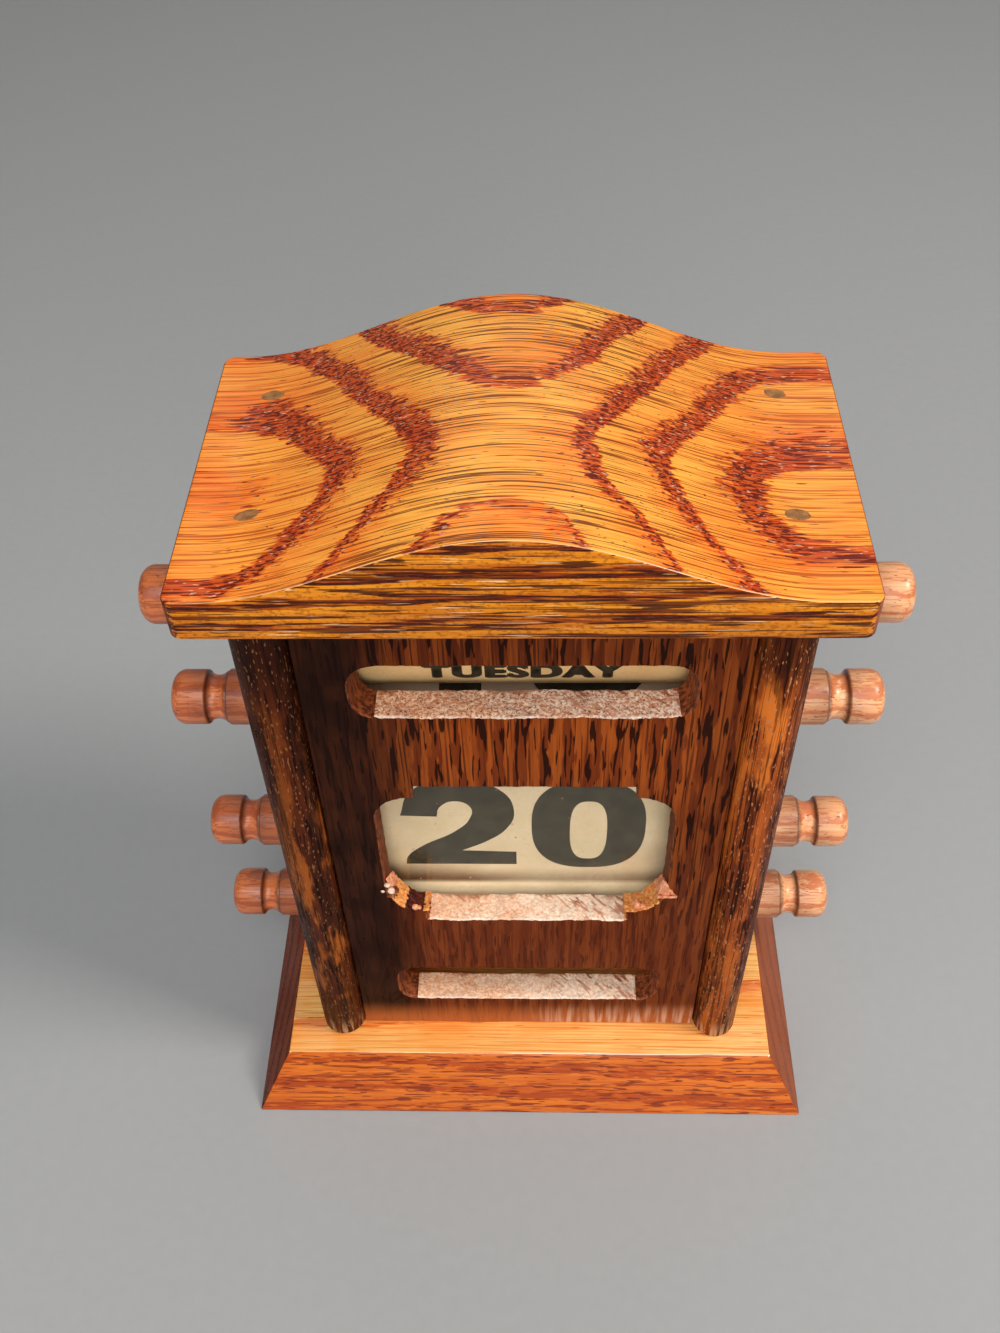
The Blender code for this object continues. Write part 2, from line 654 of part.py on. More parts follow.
def date_span():
    """The stretch of date paper between the two rolls, along the line that touches both in front."""
    rise = DATE_UPPER_AXIS_Z - DATE_LOWER_AXIS_Z
    normal_z = (DATE_LOWER_RADIUS - DATE_UPPER_RADIUS) / rise
    normal_y = -math.sqrt(1 - normal_z**2)
    ends = ((DATE_UPPER_AXIS_Z, DATE_UPPER_RADIUS), (DATE_LOWER_AXIS_Z, DATE_LOWER_RADIUS))
    near, far = [], []
    for axis_z, radius in ends:
        for row, offset in ((near, FIT_GAP), (far, FIT_GAP + DATE_PAPER_THICKNESS)):
            reach = radius + offset
            row.append((ROLLER_Y + normal_y * reach, axis_z + normal_z * reach))
    width = ROLLER_LENGTH - 2 * DATE_PAPER_END_MARGIN
    mesh = extruded_mesh("date_paper_span", [near + far[::-1]], width)
    obj = add_object("date_paper_span", mesh, aged_paper())
    obj.rotation_euler = (QUARTER_TURN, 0.0, QUARTER_TURN)
    return obj


def roof_brads():
    """Two brads into each side board. Returns each side's holes."""
    ys = (CASE_FRONT_Y + BRAD_FRONT_SETBACK, CASE_BACK_Y - BRAD_BACK_SETBACK)
    holes = {}
    for side, sign in SIDES.items():
        places = zip(("front", "back"), ys)
        holes[side] = [brad(f"roof_brad_{end}_{side}", sign * SIDE_BOARD_X, y) for end, y in places]
    return holes


def base_screws():
    """Two screws up through the base into each side board. Returns each side's holes."""
    ys = (CASE_FRONT_Y + BASE_SCREW_END_SETBACK, SIDE_BOARD_BACK_Y - BASE_SCREW_END_SETBACK)
    holes = {}
    for side, sign in SIDES.items():
        x = sign * SIDE_BOARD_X
        holes[side] = [
            wood_screw(f"base_screw_{end}_{side}", BASE_SCREW_LENGTH, (x, y, SCREW_SINK), HALF_TURN)
            for end, y in zip(("front", "back"), ys)
        ]
    return holes


def back_screws():
    """Two screws through the back panel into each side board. Returns each side's holes."""
    zs = (CASE_TOP_Z - BACK_SCREW_TOP_SETBACK, CASE_BOTTOM_Z + BACK_SCREW_BOTTOM_SETBACK)
    holes = {}
    for side, sign in SIDES.items():
        x = sign * SIDE_BOARD_X
        y = CASE_BACK_Y - SCREW_SINK
        holes[side] = [
            wood_screw(f"back_screw_{end}_{side}", BACK_SCREW_LENGTH, (x, y, z), -QUARTER_TURN)
            for end, z in zip(("top", "bottom"), zs)
        ]
    return holes


def rollers():
    """The four rollers, and the axis height of each by name."""
    roller_set(
        "weekday",
        WEEKDAY_AXIS_Z,
        "weekday_drum",
        WEEKDAY_DRUM_RADIUS,
        "weekday_label",
        WEEKDAY_RADIUS,
        LABEL_END_MARGIN,
    )
    roller_set(
        "date_upper",
        DATE_UPPER_AXIS_Z,
        "date_upper_roller",
        DATE_UPPER_CORE_RADIUS,
        "date_upper_paper_roll",
        DATE_UPPER_RADIUS,
        DATE_PAPER_END_MARGIN,
    )
    roller_set(
        "date_lower",
        DATE_LOWER_AXIS_Z,
        "date_lower_roller",
        DATE_LOWER_CORE_RADIUS,
        "date_lower_paper_roll",
        DATE_LOWER_RADIUS,
        DATE_PAPER_END_MARGIN,
    )
    roller_set(
        "month",
        MONTH_AXIS_Z,
        "month_drum",
        MONTH_DRUM_RADIUS,
        "month_label",
        MONTH_RADIUS,
        LABEL_END_MARGIN,
    )
    return {
        "weekday": WEEKDAY_AXIS_Z,
        "date_upper": DATE_UPPER_AXIS_Z,
        "date_lower": DATE_LOWER_AXIS_Z,
        "month": MONTH_AXIS_Z,
    }


def desk_calendar():
    """Makes every piece, and then cuts the holes that the fasteners and knobs need."""
    base = base_plate()
    back = back_panel()
    roof = roof_board()
    front_panel()
    date_glass()
    axes = rollers()
    date_span()
    brad_holes = roof_brads()
    base_holes = base_screws()
    back_holes = back_screws()
    for side in SIDES:
        glass_bead(side)
        bores = [knob_bore(side, name, axis_z) for name, axis_z in axes.items()]
        cut(side_board(side), bores + brad_holes[side] + base_holes[side] + back_holes[side])
        cut(roof, brad_holes[side])
        cut(base, base_holes[side])
        cut(back, back_holes[side])


desk_calendar()
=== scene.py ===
"""Looks of the perpetual desk calendar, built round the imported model.

Metres, +Z up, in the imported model's own frame: the windows face -Y and the rollers lie along X.
"""

import math
import random

import bmesh
import bpy
from mathutils import Matrix, Vector, noise
from mathutils.geometry import tessellate_polygon


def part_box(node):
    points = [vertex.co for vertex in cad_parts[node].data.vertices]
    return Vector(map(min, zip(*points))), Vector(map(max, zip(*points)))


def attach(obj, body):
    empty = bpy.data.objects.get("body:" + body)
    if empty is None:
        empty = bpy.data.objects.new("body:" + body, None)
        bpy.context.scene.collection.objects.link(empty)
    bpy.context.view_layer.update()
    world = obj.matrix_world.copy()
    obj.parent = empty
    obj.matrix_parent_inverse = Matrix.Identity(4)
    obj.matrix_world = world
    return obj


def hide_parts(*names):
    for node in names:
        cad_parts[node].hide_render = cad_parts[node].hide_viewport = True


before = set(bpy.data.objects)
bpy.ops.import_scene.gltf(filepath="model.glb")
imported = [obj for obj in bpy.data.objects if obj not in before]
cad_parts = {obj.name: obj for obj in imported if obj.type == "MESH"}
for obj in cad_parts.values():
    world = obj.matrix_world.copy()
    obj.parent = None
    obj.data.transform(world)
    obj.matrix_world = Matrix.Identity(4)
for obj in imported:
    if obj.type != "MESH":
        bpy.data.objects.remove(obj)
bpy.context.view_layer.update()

MERGE_DISTANCE = 1e-6
SHARP_ANGLE = math.radians(35)
QUARTER_TURN = math.radians(90)
HALF_TURN = math.radians(180)
SIDES = {"left": -1, "right": 1}
ENDS = ("front", "back")


def node_radius(node):
    """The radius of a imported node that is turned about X."""
    low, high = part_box(node)
    return (high.z - low.z) / 2


def axis_place(node):
    """Where the axis of a packed roller crosses the middle of the calendar."""
    low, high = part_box(node)
    middle = (low + high) / 2
    return Vector((0.0, middle.y, middle.z))


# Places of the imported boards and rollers
BASE_LOW, BASE_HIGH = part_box("base_plate")
ROOF_LOW, ROOF_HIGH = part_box("roof_board")
PANEL_LOW, PANEL_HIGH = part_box("front_panel")
SIDE_LOW, SIDE_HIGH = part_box("right_side_board")
SPAN_LOW, SPAN_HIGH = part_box("date_paper_span")
AXIS_NODES = {
    "weekday": "weekday_drum",
    "date_upper": "date_upper_roller",
    "date_lower": "date_lower_roller",
    "month": "month_drum",
}
AXIS_PLACES = {name: axis_place(node) for name, node in AXIS_NODES.items()}
DATE_Z = (AXIS_PLACES["date_upper"].z + AXIS_PLACES["date_lower"].z) / 2

# Roof wave
ROOF_EDGE_THICKNESS = 0.0067
ROOF_CREST_X = -0.0014
ROOF_LEVEL_EDGE = 0.0031
ROOF_CORNER_RADIUS = 0.0018
ROOF_WAVE_STEPS = 180
ROOF_EDGE_Z = ROOF_LOW.z + ROOF_EDGE_THICKNESS
ROOF_CREST_RISE = ROOF_HIGH.z - ROOF_EDGE_Z
ROOF_WAVE_HALF_WIDTH = ROOF_HIGH.x - abs(ROOF_CREST_X) - ROOF_LEVEL_EDGE

# Edges of the boards, and how far a face turns to an end or to the front before its finish changes
ARRIS = 0.0005
ROOF_ARRIS = 0.00032
ARRIS_SEGMENTS = 4
CORNER_SEGMENTS = 8
BASE_CHAMFER = 0.0068
BULLNOSE_STEPS = 40
BORE_RADIUS = 0.0039
ROOF_FACING = (0.55, 0.75)
BASE_FACING = (0.6, 0.6)

# Windows in the front panel
WINDOWS = {
    "weekday": {"half_width": 0.0257, "height": 0.0116, "round": 0.0046, "lean": 0.0009},
    "date": {"half_width": 0.0246, "height": 0.0399, "round": 0.0060, "lean": 0.0},
    "month": {"half_width": 0.0250, "height": 0.0120, "round": 0.0040, "lean": 0.0009},
}
SILL_ENDS = {"weekday": (-0.0226, 0.0235), "date": (-0.0179, 0.0179), "month": (-0.0220, 0.0212)}
DATE_NECK_HALF_WIDTH = 0.0180
DATE_STEP = 0.0030
WINDOW_POINT_SPACING = 0.00028
LEAST_SPACING_SHARE = 1 / 9
WALL_ROWS = 14
WALL_ROW_POWER = 1.5
SILL_FACING = -0.7
TORN_FACING = -0.25

# Relief of the windows' walls. Each roughness has the size of its lumps, its seed and its height.
# The noise has its dimension, how much finer each octave is, and the number of octaves.
TORN_NOISE = (0.6, 2.2, 3)
RIM_WEAR = 0.00022
RIM_WEAR_SHARE = 0.06
SILL_LIFT = 0.00035
SILL_CHIPS = (0.0007, 3.0, 0.00016)
SILL_WAVES = (0.0060, 7.0, 0.00032)
WALL_ROUGHNESS = (0.0018, 5.0, 0.00012)
TORN_CORNER = (0.0013, 11.0, 0.0007)
CORNER_PATCH = (0.0020, 21.0, 0.0005)
SHARD_ROUGHNESS = (0.0005, 2.0, 0.00016)
SHARD_DEPTH_SHARE = 0.6
CORNER_FILL = 0.0003

# Hollows behind the date window's lower shoulders: full up to the first |x| and gone at the second.
# They end at a height given in the window's own steps.
HOLLOW_DEPTH = 0.0023
HOLLOW_TOP = 3.0
HOLLOW_ENDS = {"left": (0.0205, 0.0240), "right": (0.0212, 0.0250)}

# The panel's materials by index, and those of the torn corners, each as far as its limit along X
RAW_CUT, STAINED_CUT, GOLDEN_CUT, HOLLOW_CUT = 1, 2, 3, 4
TORN_CORNER_COATS = (
    (-0.0235, STAINED_CUT), (-0.0216, GOLDEN_CUT), (-0.0189, HOLLOW_CUT), (0.0236, GOLDEN_CUT),
)

# Splinters, each as (x, depth behind the panel's front, z), and a tuft's size
SHARD_ROUNDS = 4
TUFT_SEED = 4
PALE_TUFTS = (
    (-0.0244, 0.0001, 0.0629, 0.00050),
    (-0.0253, 0.0002, 0.0610, 0.00052),
    (-0.0238, 0.0001, 0.0611, 0.00055),
)
PINK_TUFTS = (
    (-0.0199, 0.0001, 0.0558, 0.00058),
    (-0.0192, 0.0003, 0.0554, 0.00048),
    (0.0199, 0.0004, 0.0560, 0.00060),
    (0.0207, 0.0003, 0.0562, 0.00048),
    (0.0196, 0.0018, 0.0552, 0.00058),
)
POINTED_FLAKE = (
    (0.0238, -0.0001, 0.0652), (0.0232, -0.0001, 0.0606), (0.0262, -0.0002, 0.0604),
    (0.0236, 0.0014, 0.0648), (0.0226, 0.0024, 0.0606), (0.0260, 0.0006, 0.0604),
)
FLAKE_FOOT = (
    (0.0231, -0.0005, 0.0606), (0.0265, -0.0006, 0.0607), (0.0264, 0.0004, 0.0599),
    (0.0232, 0.0004, 0.0598), (0.0265, -0.0005, 0.0600), (0.0231, -0.0005, 0.0599),
)
LEFT_FLAKE = (
    (-0.0244, 0.0000, 0.0650), (-0.0233, 0.0002, 0.0646), (-0.0226, 0.0006, 0.0620),
    (-0.0240, 0.0002, 0.0622), (-0.0235, 0.0022, 0.0642), (-0.0228, 0.0024, 0.0624),
)
DUST_SEED = 11
DUST_SPECKS = 26
DUST_SIZES = (0.00006, 0.00018)

# Knobs and rollers
TURNED_STEPS = 56
SLEEVE_STEPS = 120
KNOB_HEAD_LENGTH = 0.0065
KNOB_HEAD_RADIUS = 0.00475
KNOB_WAIST_LENGTH = 0.0034
KNOB_WAIST_DEPTH = 0.0007
KNOB_WAIST_STEPS = 14
KNOB_END_ROUND = 0.0022
KNOB_END_DOME = 0.0003
KNOB_DOME_SHARES = (0.15, 0.6)
KNOB_END_POINTS = 12
KNOB_EDGE_ROUND = 0.0005
KNOB_EDGE_POINTS = 6
KNOB_COLLAR_ROUND = 0.00035
KNOB_COLLAR_POINTS = 5
KNOB_SHANK_RADIUS = 0.0036
KNOB_SPIGOT_RADIUS = 0.0025
KNOB_SPIGOT_LENGTH = 0.0090
FULL_CURVE_POWER = 0.8
GROOVE_DARKENING_REACH = 0.0008
COLLAR_SHADE_FROM = 0.0415
COLLAR_SHADE_TO = 0.0490
BODY_GAP = 0.0003

# Paper
SLEEVE_NODES = {
    "weekday": "weekday_label",
    "date_upper": "date_upper_paper_roll",
    "date_lower": "date_lower_paper_roll",
    "month": "month_label",
}
SLEEVE_RADII = {name: node_radius(node) for name, node in SLEEVE_NODES.items()}
SPAN_THICKNESS = 0.00025
DATE_FACE_LIFT = 0.00055
SHEET_CREASE_Z = 0.0520
SHEET_FOOT_Z = 0.0455
SHEET_BULGE = 0.0013
BULGE_STEPS = 24

# Print. Each drum has its names, the width and height of a letter, and the angle of the first name's foot.
FLAT_THICKNESS = 0.01
PRINT_THICKNESS = 0.00004
PRINT_SLICE = 0.0006
LETTER_WEIGHT = 0.028
LETTER_SPACING = 1.17
LETTER_STEPS = 6
WORD_OVERPRINTS = ((0.0, 0.0), (-0.052, 0.0), (0.052, 0.0), (0.0, -0.034), (0.0, 0.034))
WEEKDAYS = "TUESDAY WEDNESDAY THURSDAY FRIDAY SATURDAY SUNDAY MONDAY".split()
MONTHS = (
    "JANUARY FEBRUARY MARCH APRIL MAY JUNE JULY AUGUST SEPTEMBER OCTOBER NOVEMBER DECEMBER".split()
)
DRUM_WORDS = {
    "weekday": (WEEKDAYS, 0.0044, 0.0046, math.radians(-22)),
    "month": (MONTHS, 0.0038, 0.0036, math.radians(8)),
}
NUMERAL_HEIGHT = 0.0240
NUMERAL_WIDTH_SHARE = 0.87
NUMERAL_GAP = 0.0028
NUMERAL_STEPS = 10
ROUND_NUMERAL_POINTS = 40
DATE_FOOT_Z = 0.0559
DATE_LEFT_X = -0.0227
DATE_PITCH = 0.0410

# Fasteners
SCREW_ENDS = {"base": ENDS, "back": ("top", "bottom")}
SCREW_HEAD_RADIUS = 0.0026
SCREW_HEAD_DEPTH = 0.0018
SCREW_SHANK_RADIUS = 0.0013
SCREW_LENGTH = 0.012
SCREW_STEPS = 40
SCREW_PROUD = 0.00001
SCREW_SLOT_WIDTH = 0.0006
SCREW_SLOT_DEPTH = 0.0007
SCREW_SLOT_REACH = SCREW_HEAD_RADIUS * 1.2
SCREW_HOLE_GAP = 0.00012
CUT_OVERRUN = 0.001
SPOT_HALF_WIDTH = 0.0019
SPOT_HALF_DEPTH = 0.00125
SPOT_RINGS = 6
SPOT_STEPS = 32
SPOT_WOBBLE = 0.25
SPOT_VARIETY = (400, 90)
SPOT_LIFT = 0.00003
SPOT_EDGE_LIFT = -0.00002
SPOT_MIDDLE_SINK = 0.0008
SPOT_EDGE_SINK = 0.0007

# Studio and camera. A light has its place, size, power and colour.
FLOOR_HALF_WIDTH = 2.5
FLOOR_Z = (-0.02, -0.00005)
SURROUND_COLOUR = (216, 214, 212)
SURROUND_STRENGTH = 0.20
LIGHTS = {
    "key_light": ((0.60, -0.16, 0.80), 0.24, 5.4, (1.0, 0.95, 0.87)),
    "overhead_light": ((-0.05, -0.62, 0.92), 0.50, 4.4, (1.0, 0.98, 0.95)),
    "front_light": ((0.16, -0.95, 0.42), 0.50, 2.8, (1.0, 0.95, 0.88)),
    "fill_light": ((-0.60, -0.50, 0.50), 0.60, 1.0, (0.98, 0.98, 1.0)),
    "gloss_light": ((0.00, 0.62, 0.82), 0.80, 1.2, (1.0, 0.97, 0.93)),
}
LIGHT_AIM = Vector((0.0, 0.0, 0.08))
CAMERA_PLACE = Vector((0.00295, -0.1457, 0.2595))
CAMERA_PITCH = math.radians(47.685)
CAMERA_YAW = math.radians(-2.747)
CAMERA_ROLL = math.radians(2.084)
CAMERA_FOCAL_PIXELS = 1318.4
CAMERA_NEAREST = 0.005
IMAGE_HEIGHT = 1333
SENSOR_WIDTH = 36.0


# Node trees

class Value:
    """An output in a node tree. A sum with it adds a maths node to the tree."""

    def __init__(self, nodes, socket):
        self.nodes = nodes
        self.socket = socket

    def __add__(self, other):
        return self.nodes.math("ADD", self, other)

    def __sub__(self, other):
        return self.nodes.math("SUBTRACT", self, other)

    def __rsub__(self, other):
        return self.nodes.math("SUBTRACT", other, self)

    def __mul__(self, other):
        return self.nodes.math("MULTIPLY", self, other)

    def __truediv__(self, other):
        return self.nodes.math("DIVIDE", self, other)

    def __rtruediv__(self, other):
        return self.nodes.math("DIVIDE", other, self)

    def __abs__(self):
        return self.nodes.math("ABSOLUTE", self)

    def __gt__(self, other):
        return self.nodes.math("GREATER_THAN", self, other)

    def __lt__(self, other):
        return self.nodes.math("LESS_THAN", self, other)

    def ramp(self, start, end, low=0.0, high=1.0):
        """Goes smoothly from low to high as this value goes from start to end, and no further."""
        feeds = {0: self, 1: start, 2: end, 3: low, 4: high}
        return self.nodes.add("ShaderNodeMapRange", feeds, interpolation_type="SMOOTHSTEP")

    def tinted(self, share, colour):
        """This colour with a share of another over it."""
        return self.nodes.blend(share, self, colour)


class Tree:
    """A node tree written as calls: each adds a node, feeds its inputs and gives back an output."""

    def __init__(self, tree, inputs=(), outputs=()):
        self.tree = tree
        for name, kind, value in inputs:
            socket = tree.interface.new_socket(name, in_out="INPUT", socket_type=kind)
            if value is not None:
                socket.default_value = value
        for name, kind in outputs:
            tree.interface.new_socket(name, in_out="OUTPUT", socket_type=kind)
        if inputs:
            self.given = self.values(tree.nodes.new("NodeGroupInput"))
        if outputs:
            self.result = tree.nodes.new("NodeGroupOutput").inputs

    def values(self, node):
        return {socket.name: Value(self, socket) for socket in node.outputs}

    def feed(self, socket, value):
        if isinstance(value, Value):
            self.tree.links.new(value.socket, socket)
        else:
            socket.default_value = value

    def node(self, kind, feeds, **settings):
        node = self.tree.nodes.new(kind)
        for setting, value in settings.items():
            setattr(node, setting, value)
        for key, value in feeds.items():
            self.feed(node.inputs[key], value)
        return node

    def add(self, kind, feeds=None, output=0, **settings):
        return Value(self, self.node(kind, feeds or {}, **settings).outputs[output])

    def give(self, results):
        for name, value in results.items():
            self.feed(self.result[name], value)

    def math(self, operation, a, b=0.0):
        return self.add("ShaderNodeMath", {0: a, 1: b}, operation=operation)

    def larger(self, a, b):
        return self.math("MAXIMUM", a, b)

    def scaled(self, vector, factors):
        return self.add("ShaderNodeVectorMath", {0: vector, 1: factors}, operation="MULTIPLY")

    def resized(self, vector, factor):
        return self.add("ShaderNodeVectorMath", {0: vector, "Scale": factor}, operation="SCALE")

    def split(self, vector):
        node = self.node("ShaderNodeSeparateXYZ", {0: vector})
        return [Value(self, socket) for socket in node.outputs]

    def joined(self, x, y, z):
        return self.add("ShaderNodeCombineXYZ", {0: x, 1: y, 2: z})

    def noise(self, vector, detail, roughness=0.5):
        feeds = {"Vector": vector, "Scale": 1.0, "Detail": detail, "Roughness": roughness}
        return self.add("ShaderNodeTexNoise", feeds)

    def blend(self, share, a, b):
        """A colour between a and b."""
        return self.add("ShaderNodeMix", {0: share, 6: seen(a), 7: seen(b)}, 2, data_type="RGBA")

    def place(self, group, feeds):
        """Puts a shader node group in this tree and gives back its outputs by name."""
        return self.values(self.node("ShaderNodeGroup", feeds, node_tree=group))


def seen(colour):
    """A colour as it is seen, from 0 to 255, in a shader's linear values. A node's output stays as it is."""
    if isinstance(colour, Value):
        return colour
    shares = [value / 255 for value in colour]
    return (*[((s + 0.055) / 1.055) ** 2.4 if s > 0.04045 else s / 12.92 for s in shares], 1.0)


def shader_group(name, sizes, outputs):
    """A group that takes a position and named sizes, and puts out named numbers."""
    inputs = [("Position", "NodeSocketVector", None)]
    inputs += [(size, "NodeSocketFloat", value) for size, value in sizes.items()]
    tree = bpy.data.node_groups.new(name, "ShaderNodeTree")
    return Tree(tree, inputs, [(output, "NodeSocketFloat") for output in outputs])


def geometry_tree(name, inputs):
    """A geometry tree with its source geometry, the named inputs and a material."""
    kinds = (("Source", "NodeSocketGeometry", None), *inputs, ("Material", "NodeSocketMaterial", None))
    tree = bpy.data.node_groups.new(name, "GeometryNodeTree")
    return Tree(tree, kinds, (("Result", "NodeSocketGeometry"),))


def finish_tree(nodes, geometry):
    """Ends a geometry tree: real geometry, in its material."""
    real = nodes.add("GeometryNodeRealizeInstances", {0: geometry})
    feeds = {"Geometry": real, "Material": nodes.given["Material"]}
    nodes.give({"Result": nodes.add("GeometryNodeSetMaterial", feeds)})


# Shared effects

def rings(spacing=0.004, bow=0.0, bow_length=0.005, bow_centre=0.0, lean=0.0, level=0.0,
          wander=0.001, wander_length=0.010):
    """The sizes of a board's growth rings, by the names of the group's inputs."""
    return {
        "Ring Spacing": spacing, "Bow": bow, "Bow Length": bow_length, "Bow Centre": bow_centre,
        "Lean": lean, "Level": level, "Wander": wander, "Wander Length": wander_length,
    }


def ring_group():
    """Growth rings: one unit of the field a ring, bowed across the board and wandering along it."""
    nodes = shader_group("oak_rings", rings(), ("Ring Field",))
    given = nodes.given
    x, y, z = nodes.split(given["Position"])
    off_centre = y - given["Bow Centre"]
    squares = off_centre * off_centre + nodes.math("POWER", given["Bow Length"], 2.0)
    bow = nodes.math("SQRT", squares) - given["Bow Length"]
    height = z - given["Level"] + bow * given["Bow"] + x * given["Lean"]
    short = 1.0 / given["Wander Length"]
    drift = nodes.noise(nodes.joined(x * (short * 0.4), y * short, z * short), 2.0) - 0.5
    nodes.give({"Ring Field": (height + drift * given["Wander"]) / given["Ring Spacing"]})
    return nodes.tree


def figure(early=0.25, pores=0.3, crowding=0.17, ragged=0.20, length=0.008, width=0.00036, line=0.0005):
    """The sizes of a board's figure, by the names of the group's inputs."""
    return {
        "Early Share": early, "Raggedness": ragged, "Pore Length": length, "Pore Width": width,
        "Scattered Pores": pores, "Crowding": crowding, "Line Height": line,
    }


def figure_group():
    """Oak figure along X: pores crowded into early wood, fine lines between, and tone across a ring.

    Pores are long threads in the wood. A level cut shows them as dashes, a steep cut as dots. Lines are
    rays: sheets upright in the wood, as tall as Line Height, which run over a carved top unbroken.
    """
    outputs = ("Bands", "Pores", "Lines", "Tone", "Height")
    nodes = shader_group("oak_figure", {"Ring Field": 0.0, **figure()}, outputs)
    given = nodes.given
    x, y, z = nodes.split(given["Position"])
    across = 1.0 / given["Pore Width"]
    along = 1.0 / given["Pore Length"]
    threads = nodes.joined(x * along, y * across, z * across)
    tear = (nodes.noise(nodes.scaled(threads, (1.2, 0.55, 0.55)), 2.0) - 0.5) * given["Raggedness"]
    phase = nodes.math("FRACT", given["Ring Field"] + tear)
    band_end = given["Early Share"] * 1.3 + 0.04
    band = phase.ramp(0.0, 0.04) * (phase + tear * 1.5).ramp(given["Early Share"], band_end, 1.0, 0.0)
    least = 0.72 - given["Scattered Pores"] * 0.12 - band * given["Crowding"]
    pores = nodes.noise(threads, 1.0).ramp(least, least + 0.03)
    flat_z = z / given["Line Height"]
    sheets = nodes.joined(x * (along * 0.32), y * across, flat_z)
    lines = nodes.noise(sheets, 2.0, 0.55).ramp(0.55, 0.585)
    fibres = nodes.noise(nodes.joined(x * 60.0, y * 3000.0, flat_z), 3.0, 0.6)
    tone = fibres.ramp(0.35, 0.65) * 0.45 + phase.ramp(0.10, 0.80, 1.0, 0.0) * 0.40
    height = fibres * 0.2 - lines * 0.25 - pores
    nodes.give({"Bands": band, "Pores": pores, "Lines": lines, "Tone": tone, "Height": height})
    return nodes.tree


def mottle_group():
    """Soft uneven patches and fine specks, for finish, age and handling."""
    sizes = {"Patch Size": 0.008, "Speck Size": 0.0008, "Specks": 0.3}
    nodes = shader_group("mottle", sizes, ("Patches", "Specks"))
    given = nodes.given
    patches = nodes.noise(nodes.resized(given["Position"], 1.0 / given["Patch Size"]), 3.0)
    specks = nodes.noise(nodes.resized(given["Position"], 1.0 / given["Speck Size"]), 1.0)
    least = 0.80 - given["Specks"] * 0.25
    nodes.give({"Patches": patches.ramp(0.3, 0.7), "Specks": specks.ramp(least, least + 0.04)})
    return nodes.tree


RINGS = ring_group()
FIGURE = figure_group()
MOTTLE = mottle_group()
GRAIN_ALONG_X = (0.0, 0.0, 0.0)
GRAIN_UPRIGHT = (0.0, QUARTER_TURN, 0.0)
TORN_ASLANT = (0.0, 0.0, QUARTER_TURN / 2)


class Finish(Tree):
    """A material under construction, with its constants on the shader's own sockets."""

    def __init__(self, name, turn=GRAIN_ALONG_X, **constants):
        self.material = bpy.data.materials.new(name)
        self.material.use_nodes = True
        super().__init__(self.material.node_tree)
        self.shader = self.tree.nodes["Principled BSDF"]
        for socket, value in constants.items():
            self.shader.inputs[socket.replace("_", " ")].default_value = value
        self.grain = self.position(turn)

    def position(self, turn=GRAIN_ALONG_X):
        """Object coordinates, turned so that X runs along the grain."""
        coordinates = self.add("ShaderNodeTexCoord", output="Object")
        return self.add("ShaderNodeMapping", {"Vector": coordinates, "Rotation": turn})

    def streaks(self, factors, detail, roughness=0.5):
        """Noise along the grain, finer by a factor along each axis."""
        return self.noise(self.scaled(self.grain, factors), detail, roughness)

    def mottled(self, patch, speck=0.0008, specks=0.3):
        feeds = {"Position": self.grain, "Patch Size": patch, "Speck Size": speck, "Specks": specks}
        return self.place(MOTTLE, feeds)

    def figured(self, ring_sizes, figure_sizes):
        field = self.place(RINGS, {"Position": self.grain, **ring_sizes})["Ring Field"]
        return self.place(FIGURE, {"Position": self.grain, "Ring Field": field, **figure_sizes})

    def surface(self, colour, roughness, height=None, depth=0.0):
        """Feeds the shader its colour, roughness and relief."""
        self.feed(self.shader.inputs["Base Color"], colour)
        self.feed(self.shader.inputs["Roughness"], roughness)
        if height is not None:
            bump = self.add("ShaderNodeBump", {"Height": height, "Distance": depth, "Strength": 1.0})
            self.feed(self.shader.inputs["Normal"], bump)
        return self.material


class Oak(Finish):
    """Stained oak under construction: its gloss is a coat, the coat's roughness and a specular level."""

    def __init__(self, name, gloss, turn=GRAIN_ALONG_X):
        coat, coat_roughness, specular = gloss
        super().__init__(
            name, turn, Coat_Weight=coat, Coat_Roughness=coat_roughness, Specular_IOR_Level=specular
        )

    def stained(self, ring_sizes, figure_sizes, colours):
        """The oak's colour. Colours: light, deep, early wood, line and pore."""
        light, deep, early, line, pore = colours
        marks = self.marks = self.figured(ring_sizes, figure_sizes)
        self.patches = self.mottled(0.012)["Patches"]
        colour = self.blend(marks["Tone"] + self.patches * 0.25, light, deep)
        colour = colour.tinted(marks["Lines"] * 0.85, line)
        colour = colour.tinted(marks["Bands"] * 0.75, early)
        return colour.tinted(marks["Pores"] * 0.9, pore)

    def satin(self, colour, low, high, depth):
        """Finishes the oak with its uneven gloss, duller in the pores."""
        rough = self.patches * (high - low) + low + self.marks["Pores"] * 0.15
        return self.surface(colour, rough, self.marks["Height"], depth)


# Oak of the boards and knobs

ROOF_RINGS = rings(
    spacing=0.0042, bow=0.26, bow_length=0.0055, bow_centre=-0.0065, lean=-0.0274, level=ROOF_EDGE_Z,
    wander=0.0018, wander_length=0.011,
)
BASE_RINGS = rings(
    spacing=0.0046, bow=0.30, bow_length=0.010, bow_centre=0.004, lean=0.030, level=0.002,
    wander=0.0022, wander_length=0.014,
)
PANEL_RINGS = rings(spacing=0.0034, lean=0.01, wander=0.0060, wander_length=0.009)
SIDE_RINGS = rings(spacing=0.0050, lean=0.02, wander=0.0060, wander_length=0.010)
KNOB_RINGS = rings(spacing=0.0030, bow=0.2, wander=0.0030, wander_length=0.004)
BARE_RINGS = rings(spacing=0.0022, bow=0.4, wander=0.0012)


